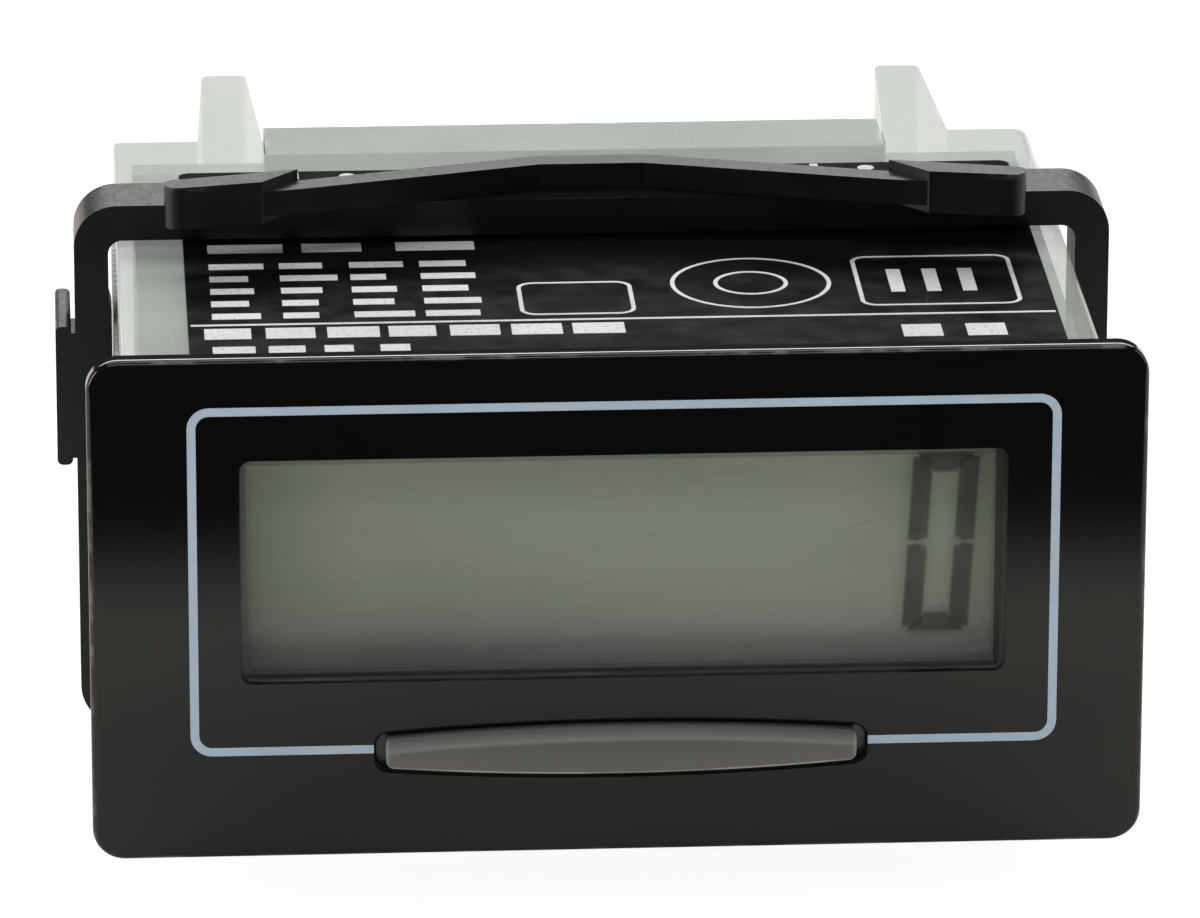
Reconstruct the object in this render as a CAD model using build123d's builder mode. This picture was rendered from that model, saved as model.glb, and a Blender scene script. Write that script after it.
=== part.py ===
from build123d import *
import os

os.makedirs("parts", exist_ok=True)

# Millimetres. +X right, +Y rearward from the panel seat, +Z up.
# The origin is the centre of the bezel's rear face, in the plane of the panel's front.

# Bezel and the openings in it
BEZEL_W, BEZEL_H, BEZEL_T, BEZEL_R = 72.0, 36.0, 1.4, 2.2
FRONT_EDGE, SLOT_LIP = 0.45, 0.4
WIN_X, WIN_Z, WIN_W, WIN_H, WIN_R = 0.35, 2.7, 52.2, 16.1, 0.8
FLANGE_W, FLANGE_H, FLANGE_T = 54.4, 18.3, 0.6
SLOT_HALF, SLOT_END, SLOT_MID, SLOT_R, SLOT_X, SLOT_Z = 16.75, 1.15, 1.85, 0.9, 0.18, -10.4
BOSS_X, BOSS_Z, BOSS_R, BOSS_L = 29.7, 12.6, 1.9, 3.9
ARM_X, ARM_W, ARM_Z, ARM_T, ARM_L = 18.0, 6.0, 14.3, 0.8, 7.0

# Reset button
BTN_HALF, BTN_END, BTN_MID, BTN_R = 16.1, 1.0, 1.68, 0.55
BTN_FRONT, BTN_BEVEL_W, BTN_BEVEL_T = 2.0, 0.9, 0.32
BTN_FLANGE_W, BTN_FLANGE_H, BTN_FLANGE_T, BTN_GAP = 35.2, 5.0, 0.8, 0.1
STEM_R, STEM_END, SPRING_R, SPRING_WIRE = 1.5, 7.7, 1.95, 0.17

# Liquid-crystal display and its holder
GLASS_W, GLASS_Z0, GLASS_T, GLASS_Y = 54.0, -7.3, 0.7, 2.3
FRONT_GLASS_H, REAR_GLASS_H = 21.1, 18.7
FILM_W, FILM_H, FILM_Z, FILM_T = 52.6, 17.8, 2.4, 0.12
HOLDER_Y, HOLDER_T, HOLDER_W, HOLDER_H = 4.0, 1.2, 63.6, 29.8
ZEBRA_W, ZEBRA_Z, ZEBRA_T = 50.6, 12.7, 1.6
POST_X, POST_Z_LOW, POST_Z_HIGH, POST_R, PIN_R = 22.0, -12.0, 9.0, 1.5, 0.75

# Circuit boards
DB_Y, BOARD_T, DB_W, DB_H = 8.6, 1.6, 60.0, 28.0
MB_Z, MB_W, MB_Y0, MB_Y1 = -9.0, 58.0, 10.7, 45.6
LINK_COUNT, LINK_PITCH, LINK_Y, LINK_Z = 10, 2.54, 12.9, -7.7
PILLAR_X, PILLAR_Y_FRONT, PILLAR_Y_REAR, PILLAR_R = 24.0, 17.0, 42.0, 2.2
PILOT_R, SCREW_R, SCREW_HEAD_R, SCREW_HEAD_T = 0.8, 0.78, 1.7, 1.1
CELL_R, CELL_L, CELL_X, CELL_Y, CELL_Z = 7.1, 24.6, -8.0, 28.5, -1.7
CHIP, CHIP_X, CHIP_Y, CHIP_T = 10.0, 15.0, 24.0, 1.4

# Clear case
CASE_W, CASE_H, CASE_L, WALL = 67.0, 32.9, 53.2, 1.3
CASE_R, KEY_R, SEAT_GROOVE = 0.4, 1.3, 0.2
BAY_HALF, BAY_Y = 22.6, 49.9
CHEEK_L, CHEEK_BASE_IN, CHEEK_BASE_OUT, CHEEK_TIP_IN, CHEEK_TIP_OUT = 16.4, 22.65, 27.4, 23.5, 26.75
RACK_Y0, RACK_Y1, RACK_PITCH, RACK_H, RACK_Z0, RACK_Z1 = 8.0, 50.0, 1.2, 0.3, 0.5, 11.0

# Terminals
CELLS, PITCH, BARRIER_T = 6, 7.5, 1.1
BLOCK_HALF, BLOCK_Y0, BLOCK_FACE, BLOCK_Y1 = 22.5, 45.9, 50.0, 56.6
BLOCK_Z0, BLOCK_ROOF, BLOCK_TOP = -15.0, 14.6, 16.35
STRIP_W, STRIP_H, STRIP_T = 5.6, 18.0, 1.2
CLAMP_W, CLAMP_H, CLAMP_T, CLAMP_Z = 5.8, 7.4, 1.0, 3.0
M3_R, M3_HOLE_R, M3_HEAD_R, M3_HEAD_T, M3_LENGTH = 1.45, 1.55, 2.7, 1.9, 5.4

# Label on the case's top
LABEL_X0, LABEL_X1, LABEL_Y0, LABEL_Y1, LABEL_T = -28.9, 31.0, 0.6, 45.2, 0.12

# Mounting clip
CLIP_Y0, CLIP_Y1, CLIP_W, CLIP_H, CLIP_R = 28.6, 33.9, 73.1, 38.9, 3.0
CLIP_IN_W, CLIP_IN_H, CLIP_IN_R = 68.3, 33.8, 1.0
BOW_Z0, BOW_Z1, PAD_Z0, PAD_Z1 = 19.6, 21.4, 19.1, 22.15
BOW_T, ROOT_HALF, PAD_IN = 2.0, 3.5, 23.8
BOW_FRONT = [(3.7, 30.6), (20.5, 25.8), (29.2, 24.0)]
TAB_X0, TAB_X1, TAB_Z0, TAB_Z1, TAB_Y1 = 36.85, 37.95, 0.3, 10.6, 37.3
PAWL_X, PAWL_Z0, PAWL_Z1, PAWL_T = 33.95, 0.5, 11.8, 2.8


# Bezel: one black moulding with the window, the button slot, screw bosses and four snap arms;
# the case's front edge sits in a shallow groove, so the rim outside it is the panel seat
with BuildPart() as bezel:
    with BuildSketch(Plane.XZ):
        RectangleRounded(BEZEL_W, BEZEL_H, BEZEL_R)
    extrude(amount=BEZEL_T)
    fillet(bezel.faces().sort_by(Axis.Y)[0].outer_wire().edges(), FRONT_EDGE)
    with BuildSketch(Plane.XZ.offset(BEZEL_T)):
        with Locations((WIN_X, WIN_Z)):
            RectangleRounded(WIN_W, WIN_H, WIN_R)
    extrude(amount=-BEZEL_T, mode=Mode.SUBTRACT)
    with BuildSketch(Plane.XZ):
        with Locations((WIN_X, WIN_Z)):
            RectangleRounded(FLANGE_W + 0.2, FLANGE_H + 0.2, 1.2)
    extrude(amount=FLANGE_T, mode=Mode.SUBTRACT)
    with BuildSketch(Plane.XZ):
        with BuildLine():
            left, right = SLOT_X - SLOT_HALF, SLOT_X + SLOT_HALF
            high, low = SLOT_Z + SLOT_END, SLOT_Z - SLOT_END
            ThreePointArc((left, high), (SLOT_X, SLOT_Z + SLOT_MID), (right, high))
            Line((right, high), (right, low))
            ThreePointArc((right, low), (SLOT_X, SLOT_Z - SLOT_MID), (left, low))
            Line((left, low), (left, high))
        make_face()
        fillet(vertices(), SLOT_R)
    extrude(amount=BEZEL_T, mode=Mode.SUBTRACT)
    openings = bezel.faces().sort_by(Axis.Y)[0].inner_wires()
    fillet(openings.sort_by(Axis.Z)[0].edges(), SLOT_LIP)
    with BuildSketch(Plane.XZ):
        Rectangle(CASE_W + 0.3, CASE_H + 0.3)
        Rectangle(CASE_W - 2 * WALL - 0.06, CASE_H - 2 * WALL - 0.06, mode=Mode.SUBTRACT)
    extrude(amount=SEAT_GROOVE, mode=Mode.SUBTRACT)
    with BuildSketch(Plane.XZ):
        with GridLocations(2 * BOSS_X, 2 * BOSS_Z, 2, 2):
            Circle(BOSS_R)
    extrude(amount=-BOSS_L)
    with BuildSketch(Plane.XZ.offset(-BOSS_L)):
        with GridLocations(2 * BOSS_X, 2 * BOSS_Z, 2, 2):
            Circle(PILOT_R)
    extrude(amount=BOSS_L - 0.4, mode=Mode.SUBTRACT)
    with BuildSketch(Plane.XZ):
        with GridLocations(2 * ARM_X, 2 * ARM_Z + ARM_T, 2, 2):
            Rectangle(ARM_W, ARM_T)
    extrude(amount=-ARM_L)
    for side in (-1, 1):
        for level in (-1, 1):
            with BuildSketch(Plane.YZ.offset(side * ARM_X)):
                with BuildLine():
                    Polyline((5.2, level * 15.05), (5.2, level * 16.3), (5.6, level * 16.3),
                             (6.6, level * 15.05), close=True)
                make_face()
            extrude(amount=ARM_W / 2, both=True)
bezel.part.label = "bezel"
export_step(bezel.part, "parts/bezel.step")

# Window lens: clear tray that fills the opening, held by a flange behind the plate
with BuildPart() as window_lens:
    with BuildSketch(Plane.XZ.offset(-0.1)):
        with Locations((WIN_X, WIN_Z)):
            RectangleRounded(WIN_W - 0.2, WIN_H - 0.2, WIN_R)
    extrude(amount=1.2)
    with BuildSketch(Plane.XZ):
        with Locations((WIN_X, WIN_Z)):
            RectangleRounded(FLANGE_W, FLANGE_H, 1.1)
    extrude(amount=FLANGE_T)
    with BuildSketch(Plane.XZ.offset(-1.6)):
        with Locations((WIN_X, WIN_Z)):
            RectangleRounded(WIN_W - 0.2, WIN_H - 0.2, WIN_R)
            RectangleRounded(WIN_W - 0.8, WIN_H - 0.8, WIN_R - 0.3, mode=Mode.SUBTRACT)
    extrude(amount=1.5)
window_lens.part.label = "window_lens"
export_step(window_lens.part, "parts/window_lens.step")

# Reset button: lens-shaped cap with a broad bevel along its upper edge, a stop flange and a stem
with BuildPart() as reset_button:
    with BuildSketch(Plane.XZ.offset(-BTN_GAP)):
        with BuildLine():
            left, right = SLOT_X - BTN_HALF, SLOT_X + BTN_HALF
            high, low = SLOT_Z + BTN_END, SLOT_Z - BTN_END
            ThreePointArc((left, high), (SLOT_X, SLOT_Z + BTN_MID), (right, high))
            Line((right, high), (right, low))
            ThreePointArc((right, low), (SLOT_X, SLOT_Z - BTN_MID), (left, low))
            Line((left, low), (left, high))
        make_face()
    extrude(amount=BTN_FRONT + BTN_GAP)
    front = reset_button.faces().sort_by(Axis.Y)[0]
    chamfer(front.edges().sort_by(Axis.Z)[-1], BTN_BEVEL_W, BTN_BEVEL_T, reference=front)
    fillet(reset_button.edges().filter_by(Axis.Y), BTN_R)
    with BuildSketch(Plane.XZ.offset(-BTN_GAP - BTN_FLANGE_T)):
        with Locations((SLOT_X, SLOT_Z)):
            RectangleRounded(BTN_FLANGE_W, BTN_FLANGE_H, 0.8)
    extrude(amount=BTN_FLANGE_T)
    with BuildSketch(Plane.XZ.offset(-STEM_END)):
        with Locations((SLOT_X, SLOT_Z)):
            Circle(STEM_R)
    extrude(amount=STEM_END - BTN_GAP - BTN_FLANGE_T)
reset_button.part.label = "reset_button"
export_step(reset_button.part, "parts/reset_button.step")

# Return spring round the button's stem
with BuildPart() as button_spring:
    with BuildLine() as coil:
        Helix(pitch=0.72, height=2.7, radius=SPRING_R, center=(SLOT_X, 1.1, SLOT_Z), direction=(0, 1, 0))
    with BuildSketch(Plane(coil.line @ 0, z_dir=coil.line % 0)):
        Circle(SPRING_WIRE)
    sweep(is_frenet=True)
button_spring.part.label = "button_spring"
export_step(button_spring.part, "parts/button_spring.step")

# Front and rear polarising films
with BuildPart() as front_polariser:
    with BuildSketch(Plane.XZ.offset(-GLASS_Y)):
        with Locations((WIN_X, FILM_Z)):
            Rectangle(FILM_W, FILM_H)
    extrude(amount=FILM_T)
front_polariser.part.label = "front_polariser"
export_step(front_polariser.part, "parts/front_polariser.step")

with BuildPart() as rear_reflector:
    with BuildSketch(Plane.XZ.offset(-GLASS_Y - 2 * GLASS_T - FILM_T)):
        with Locations((WIN_X, FILM_Z)):
            Rectangle(FILM_W, FILM_H)
    extrude(amount=FILM_T)
rear_reflector.part.label = "rear_reflector"
export_step(rear_reflector.part, "parts/rear_reflector.step")

# Two glass plates; the front one is taller and its ledge carries the contacts
with BuildPart() as front_glass:
    with BuildSketch(Plane.XZ.offset(-GLASS_Y - GLASS_T)):
        with Locations((0, GLASS_Z0 + FRONT_GLASS_H / 2)):
            Rectangle(GLASS_W, FRONT_GLASS_H)
    extrude(amount=GLASS_T)
front_glass.part.label = "front_glass"
export_step(front_glass.part, "parts/front_glass.step")

with BuildPart() as rear_glass:
    with BuildSketch(Plane.XZ.offset(-GLASS_Y - 2 * GLASS_T)):
        with Locations((0, GLASS_Z0 + REAR_GLASS_H / 2)):
            Rectangle(GLASS_W, REAR_GLASS_H)
    extrude(amount=GLASS_T)
rear_glass.part.label = "rear_glass"
export_step(rear_glass.part, "parts/rear_glass.step")

# Display holder: tray behind the glass, with posts staked to the display board
with BuildPart() as display_holder:
    with BuildSketch(Plane.XZ.offset(-HOLDER_Y - HOLDER_T)):
        RectangleRounded(HOLDER_W, HOLDER_H, 1.0)
        with GridLocations(2 * ARM_X, HOLDER_H, 2, 2):
            Rectangle(ARM_W + 1.0, 2.2, mode=Mode.SUBTRACT)
        with Locations((0, ZEBRA_Z)):
            Rectangle(ZEBRA_W + 0.2, ZEBRA_T + 0.2, mode=Mode.SUBTRACT)
        with Locations((SLOT_X, SLOT_Z)):
            Circle(STEM_R + 0.08, mode=Mode.SUBTRACT)
        with GridLocations(2 * BOSS_X, 2 * BOSS_Z, 2, 2):
            Circle(1.05, mode=Mode.SUBTRACT)
    extrude(amount=HOLDER_T)
    with BuildSketch(Plane.XZ.offset(-HOLDER_Y)):
        with Locations((0, GLASS_Z0 + FRONT_GLASS_H / 2)):
            Rectangle(GLASS_W + 1.3, FRONT_GLASS_H + 0.9)
            Rectangle(GLASS_W + 0.1, FRONT_GLASS_H + 0.1, mode=Mode.SUBTRACT)
    extrude(amount=HOLDER_Y - GLASS_Y - 0.1)
    for z in (POST_Z_LOW, POST_Z_HIGH):
        for x in (-POST_X, POST_X):
            with BuildSketch(Plane.XZ.offset(-HOLDER_Y - HOLDER_T)):
                with Locations((x, z)):
                    Circle(POST_R)
            extrude(amount=-(DB_Y - HOLDER_Y - HOLDER_T))
            with BuildSketch(Plane.XZ.offset(-DB_Y)):
                with Locations((x, z)):
                    Circle(PIN_R)
            extrude(amount=-BOARD_T)
            with BuildSketch(Plane.XZ.offset(-DB_Y - BOARD_T)):
                with Locations((x, z)):
                    Circle(PIN_R + 0.5)
            extrude(amount=-0.5)
display_holder.part.label = "display_holder"
export_step(display_holder.part, "parts/display_holder.step")

# Four self-tapping screws that hold the holder to the bezel
with BuildPart() as display_screws:
    with BuildSketch(Plane.XZ.offset(-HOLDER_Y - HOLDER_T - SCREW_HEAD_T)):
        with GridLocations(2 * BOSS_X, 2 * BOSS_Z, 2, 2):
            Circle(SCREW_HEAD_R)
    extrude(amount=SCREW_HEAD_T)
    with BuildSketch(Plane.XZ.offset(-HOLDER_Y - HOLDER_T)):
        with GridLocations(2 * BOSS_X, 2 * BOSS_Z, 2, 2):
            Circle(SCREW_R)
    extrude(amount=4.4)
    with BuildSketch(Plane.XZ.offset(-HOLDER_Y - HOLDER_T - SCREW_HEAD_T)):
        with GridLocations(2 * BOSS_X, 2 * BOSS_Z, 2, 2):
            Rectangle(2.0, 0.4)
            Rectangle(0.4, 2.0)
    extrude(amount=0.6, mode=Mode.SUBTRACT)
display_screws.part.label = "display_screws"
export_step(display_screws.part, "parts/display_screws.step")

# Elastomer connector strip between the glass ledge and the display board
with BuildPart() as zebra_strip:
    with BuildSketch(Plane.XZ.offset(-DB_Y)):
        with Locations((0, ZEBRA_Z)):
            Rectangle(ZEBRA_W, ZEBRA_T)
    extrude(amount=DB_Y - GLASS_Y - GLASS_T)
zebra_strip.part.label = "zebra_strip"
export_step(zebra_strip.part, "parts/zebra_strip.step")

# Display board, upright behind the holder
with BuildPart() as display_board:
    with BuildSketch(Plane.XZ.offset(-DB_Y - BOARD_T)):
        RectangleRounded(DB_W, DB_H, 1.0)
        for z in (POST_Z_LOW, POST_Z_HIGH):
            with Locations((-POST_X, z), (POST_X, z)):
                Circle(PIN_R + 0.05, mode=Mode.SUBTRACT)
        with Locations((0, LINK_Z)):
            with GridLocations(LINK_PITCH, 1, LINK_COUNT, 1):
                Rectangle(0.8, 0.8, mode=Mode.SUBTRACT)
    extrude(amount=BOARD_T)
display_board.part.label = "display_board"
export_step(display_board.part, "parts/display_board.step")

# Pair of gold contact pads that the stem's pill bridges
with BuildPart() as reset_contacts:
    with BuildSketch(Plane.XZ.offset(-DB_Y)):
        with Locations((SLOT_X, SLOT_Z)):
            Circle(1.9)
            Rectangle(0.4, 4.0, mode=Mode.SUBTRACT)
    extrude(amount=0.06)
reset_contacts.part.label = "reset_contacts"
export_step(reset_contacts.part, "parts/reset_contacts.step")

# Display driver on the rear of the display board
with BuildPart() as driver_chip:
    with BuildSketch(Plane.XZ.offset(-DB_Y - BOARD_T - 1.4)):
        with Locations((4, 4)):
            Rectangle(9.0, 9.0)
    extrude(amount=1.4)
    chamfer(driver_chip.faces().sort_by(Axis.Y)[-1].edges(), 0.25)
driver_chip.part.label = "driver_chip"
export_step(driver_chip.part, "parts/driver_chip.step")

# Main board, flat along the bottom of the case
with BuildPart() as main_board:
    with BuildSketch(Plane.XY.offset(MB_Z - BOARD_T)):
        with Locations((0, (MB_Y0 + MB_Y1) / 2)):
            Rectangle(MB_W, MB_Y1 - MB_Y0)
        with Locations((0, (PILLAR_Y_FRONT + PILLAR_Y_REAR) / 2)):
            with GridLocations(2 * PILLAR_X, PILLAR_Y_REAR - PILLAR_Y_FRONT, 2, 2):
                Circle(1.0, mode=Mode.SUBTRACT)
    extrude(amount=BOARD_T)
main_board.part.label = "main_board"
export_step(main_board.part, "parts/main_board.step")

# Pin header that joins the two boards: plastic body and its row of pins
with BuildPart() as link_body:
    with BuildSketch(Plane.XY.offset(MB_Z)):
        with Locations((0, LINK_Y)):
            Rectangle(LINK_COUNT * LINK_PITCH, 2.5)
    extrude(amount=2.5)
    with BuildSketch(Plane.XZ.offset(-LINK_Y - 1.25)):
        with Locations((0, LINK_Z)):
            with GridLocations(LINK_PITCH, 1, LINK_COUNT, 1):
                Rectangle(0.66, 0.66)
    extrude(amount=2.5, mode=Mode.SUBTRACT)
link_body.part.label = "link_body"
export_step(link_body.part, "parts/link_body.step")

with BuildPart() as link_pins:
    with BuildSketch(Plane.XZ.offset(-LINK_Y - 2.2)):
        with Locations((0, LINK_Z)):
            with GridLocations(LINK_PITCH, 1, LINK_COUNT, 1):
                Rectangle(0.64, 0.64)
    extrude(amount=LINK_Y + 2.2 - DB_Y + 0.6)
    with BuildSketch(Plane.XY.offset(MB_Z + 0.02)):
        with Locations((0, LINK_Y + 1.88)):
            with GridLocations(LINK_PITCH, 1, LINK_COUNT, 1):
                Rectangle(0.64, 0.64)
    extrude(amount=LINK_Z - MB_Z)
link_pins.part.label = "link_pins"
export_step(link_pins.part, "parts/link_pins.step")

# Four self-tapping screws that hold the main board to the case's pillars
with BuildPart() as board_screws:
    with BuildSketch(Plane.XY.offset(MB_Z)):
        with Locations((0, (PILLAR_Y_FRONT + PILLAR_Y_REAR) / 2)):
            with GridLocations(2 * PILLAR_X, PILLAR_Y_REAR - PILLAR_Y_FRONT, 2, 2):
                Circle(SCREW_HEAD_R)
    extrude(amount=SCREW_HEAD_T)
    with BuildSketch(Plane.XY.offset(MB_Z)):
        with Locations((0, (PILLAR_Y_FRONT + PILLAR_Y_REAR) / 2)):
            with GridLocations(2 * PILLAR_X, PILLAR_Y_REAR - PILLAR_Y_FRONT, 2, 2):
                Circle(SCREW_R)
    extrude(amount=-5.0)
    with BuildSketch(Plane.XY.offset(MB_Z + SCREW_HEAD_T)):
        with Locations((0, (PILLAR_Y_FRONT + PILLAR_Y_REAR) / 2)):
            with GridLocations(2 * PILLAR_X, PILLAR_Y_REAR - PILLAR_Y_FRONT, 2, 2):
                Rectangle(2.0, 0.4)
                Rectangle(0.4, 2.0)
    extrude(amount=-0.6, mode=Mode.SUBTRACT)
board_screws.part.label = "board_screws"
export_step(board_screws.part, "parts/board_screws.step")

# Lithium cell lying along X, with a welded tab on each end
with BuildPart() as lithium_cell:
    with BuildSketch(Plane.YZ.offset(CELL_X - CELL_L / 2)):
        with Locations((CELL_Y, CELL_Z)):
            Circle(CELL_R)
    extrude(amount=CELL_L)
    fillet(lithium_cell.edges().filter_by(GeomType.CIRCLE), 0.6)
    with BuildSketch(Plane.YZ.offset(CELL_X + CELL_L / 2)):
        with Locations((CELL_Y, CELL_Z)):
            Circle(2.2)
    extrude(amount=0.8)
lithium_cell.part.label = "lithium_cell"
export_step(lithium_cell.part, "parts/lithium_cell.step")

with BuildPart() as cell_tabs:
    for x, out in ((CELL_X - CELL_L / 2 - 0.2, -1), (CELL_X + CELL_L / 2 + 0.8, 1)):
        with BuildSketch(Plane.YZ.offset(x)):
            with Locations((CELL_Y, (CELL_Z + 2.0 + MB_Z) / 2)):
                Rectangle(3.6, CELL_Z + 2.0 - MB_Z)
        extrude(amount=0.2)
        with BuildSketch(Plane.XY.offset(MB_Z)):
            with Locations((x + 0.1 + out * 0.9, CELL_Y)):
                Rectangle(2.0, 3.6)
        extrude(amount=0.2)
cell_tabs.part.label = "cell_tabs"
export_step(cell_tabs.part, "parts/cell_tabs.step")

# Counter chip and its leads
with BuildPart() as counter_chip:
    with BuildSketch(Plane.XY.offset(MB_Z + 0.15)):
        with Locations((CHIP_X, CHIP_Y)):
            Rectangle(CHIP, CHIP)
    extrude(amount=CHIP_T)
    chamfer(counter_chip.faces().sort_by(Axis.Z)[-1].edges(), 0.25)
counter_chip.part.label = "counter_chip"
export_step(counter_chip.part, "parts/counter_chip.step")

with BuildPart() as chip_leads:
    with BuildSketch(Plane.XY.offset(MB_Z)):
        with Locations((CHIP_X, CHIP_Y)):
            with GridLocations(CHIP + 1.2, 0.8, 2, 11):
                Rectangle(1.2, 0.35)
            with GridLocations(0.8, CHIP + 1.2, 11, 2):
                Rectangle(0.35, 1.2)
    extrude(amount=0.15)
chip_leads.part.label = "chip_leads"
export_step(chip_leads.part, "parts/chip_leads.step")

# Crystal can, two electrolytic capacitors and a film capacitor
with BuildPart() as crystal_can:
    with BuildSketch(Plane.XY.offset(MB_Z)):
        with Locations((-12.0, 17.8)):
            SlotOverall(11.0, 4.6)
    extrude(amount=3.6)
    fillet(crystal_can.faces().sort_by(Axis.Z)[-1].edges(), 0.4)
crystal_can.part.label = "crystal_can"
export_step(crystal_can.part, "parts/crystal_can.step")

with BuildPart() as large_capacitor:
    with BuildSketch(Plane.XY.offset(MB_Z)):
        with Locations((18.0, 36.0)):
            Circle(4.0)
    extrude(amount=10.0)
    fillet(large_capacitor.edges().filter_by(GeomType.CIRCLE), 0.5)
large_capacitor.part.label = "large_capacitor"
export_step(large_capacitor.part, "parts/large_capacitor.step")

with BuildPart() as small_capacitor:
    with BuildSketch(Plane.XY.offset(MB_Z)):
        with Locations((9.5, 37.5)):
            Circle(2.5)
    extrude(amount=7.0)
    fillet(small_capacitor.edges().filter_by(GeomType.CIRCLE), 0.4)
small_capacitor.part.label = "small_capacitor"
export_step(small_capacitor.part, "parts/small_capacitor.step")

with BuildPart() as film_capacitor:
    with BuildSketch(Plane.XY.offset(MB_Z)):
        with Locations((-1.5, 38.8)):
            Rectangle(13.0, 5.0)
    extrude(amount=9.0)
    fillet(film_capacitor.edges().filter_by(Axis.Z), 0.5)
film_capacitor.part.label = "film_capacitor"
export_step(film_capacitor.part, "parts/film_capacitor.step")

# Two input optocouplers
with BuildPart() as optocouplers:
    with BuildSketch(Plane.XY.offset(MB_Z)):
        with Locations((-18.2, 39.2), (-11.6, 39.2)):
            Rectangle(4.6, 6.4)
    extrude(amount=3.5)
optocouplers.part.label = "optocouplers"
export_step(optocouplers.part, "parts/optocouplers.step")

# Terminal block: base, roof and barriers between the cells
with BuildPart() as terminal_block:
    with BuildSketch(Plane.XZ.offset(-BLOCK_FACE)):
        with Locations((0, 0)):
            Rectangle(2 * BLOCK_HALF, -2 * BLOCK_Z0)
    extrude(amount=BLOCK_FACE - BLOCK_Y0)
    with BuildSketch(Plane.XZ.offset(-BLOCK_Y1)):
        with Locations((0, (BLOCK_ROOF + BLOCK_TOP) / 2)):
            Rectangle(2 * BLOCK_HALF, BLOCK_TOP - BLOCK_ROOF)
    extrude(amount=BLOCK_Y1 - BLOCK_FACE)
    with BuildSketch(Plane.XZ.offset(-BLOCK_Y1)):
        with Locations((0, (BLOCK_Z0 + BLOCK_ROOF) / 2)):
            with GridLocations(PITCH, 1, CELLS - 1, 1):
                Rectangle(BARRIER_T, BLOCK_ROOF - BLOCK_Z0)
            with GridLocations(2 * BLOCK_HALF - BARRIER_T / 2, 1, 2, 1):
                Rectangle(BARRIER_T / 2, BLOCK_ROOF - BLOCK_Z0)
    extrude(amount=BLOCK_Y1 - BLOCK_FACE)
    with BuildSketch(Plane.XZ.offset(-BLOCK_FACE)):
        with Locations((0, CLAMP_Z)):
            with GridLocations(PITCH, 1, CELLS, 1):
                Circle(1.8)
    extrude(amount=3.5, mode=Mode.SUBTRACT)
    with BuildSketch(Plane.XZ.offset(-BLOCK_FACE)):
        with Locations((0, MB_Z + 0.4)):
            with GridLocations(PITCH, 1, CELLS, 1):
                Rectangle(1.24, 0.74)
    extrude(amount=BLOCK_FACE - BLOCK_Y0, mode=Mode.SUBTRACT)
terminal_block.part.label = "terminal_block"
export_step(terminal_block.part, "parts/terminal_block.step")

# Six contact strips, each with a threaded hole and a pin soldered to the main board
with BuildPart() as contact_strips:
    with BuildSketch(Plane.XZ.offset(-BLOCK_FACE - STRIP_T)):
        with GridLocations(PITCH, 1, CELLS, 1):
            Rectangle(STRIP_W, STRIP_H)
        with Locations((0, CLAMP_Z)):
            with GridLocations(PITCH, 1, CELLS, 1):
                Circle(M3_HOLE_R, mode=Mode.SUBTRACT)
    extrude(amount=STRIP_T)
    with BuildSketch(Plane.XZ.offset(-BLOCK_FACE)):
        with Locations((0, MB_Z + 0.4)):
            with GridLocations(PITCH, 1, CELLS, 1):
                Rectangle(1.2, 0.7)
    extrude(amount=7.4)
contact_strips.part.label = "contact_strips"
export_step(contact_strips.part, "parts/contact_strips.step")

# Six captive clamp plates and six terminal screws, one of each per cell
for i in range(CELLS):
    x = (i - (CELLS - 1) / 2) * PITCH
    plate_y = BLOCK_FACE + STRIP_T + 0.05
    with BuildPart() as clamp_plate:
        with BuildSketch(Plane.XZ.offset(-plate_y - CLAMP_T)):
            with Locations((x, CLAMP_Z)):
                RectangleRounded(CLAMP_W, CLAMP_H, 0.4)
                Circle(M3_HOLE_R, mode=Mode.SUBTRACT)
        extrude(amount=CLAMP_T)
    clamp_plate.part.label = f"clamp_plate_{i + 1}"
    export_step(clamp_plate.part, f"parts/clamp_plate_{i + 1}.step")

    head_y = plate_y + CLAMP_T + 0.03
    with BuildPart() as terminal_screw:
        with BuildSketch(Plane.XZ.offset(-head_y - M3_HEAD_T)):
            with Locations((x, CLAMP_Z)):
                Circle(M3_HEAD_R)
        extrude(amount=M3_HEAD_T)
        fillet(terminal_screw.faces().sort_by(Axis.Y)[-1].edges(), 0.5)
        with BuildSketch(Plane.XZ.offset(-head_y)):
            with Locations((x, CLAMP_Z)):
                Circle(M3_R)
        extrude(amount=M3_LENGTH)
        with BuildSketch(Plane.XZ.offset(-head_y - M3_HEAD_T)):
            with Locations((x, CLAMP_Z)):
                Rectangle(0.8, 2 * M3_HEAD_R + 1, rotation=25 + 40 * i)
        extrude(amount=1.0, mode=Mode.SUBTRACT)
    terminal_screw.part.label = f"terminal_screw_{i + 1}"
    export_step(terminal_screw.part, f"parts/terminal_screw_{i + 1}.step")

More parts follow.
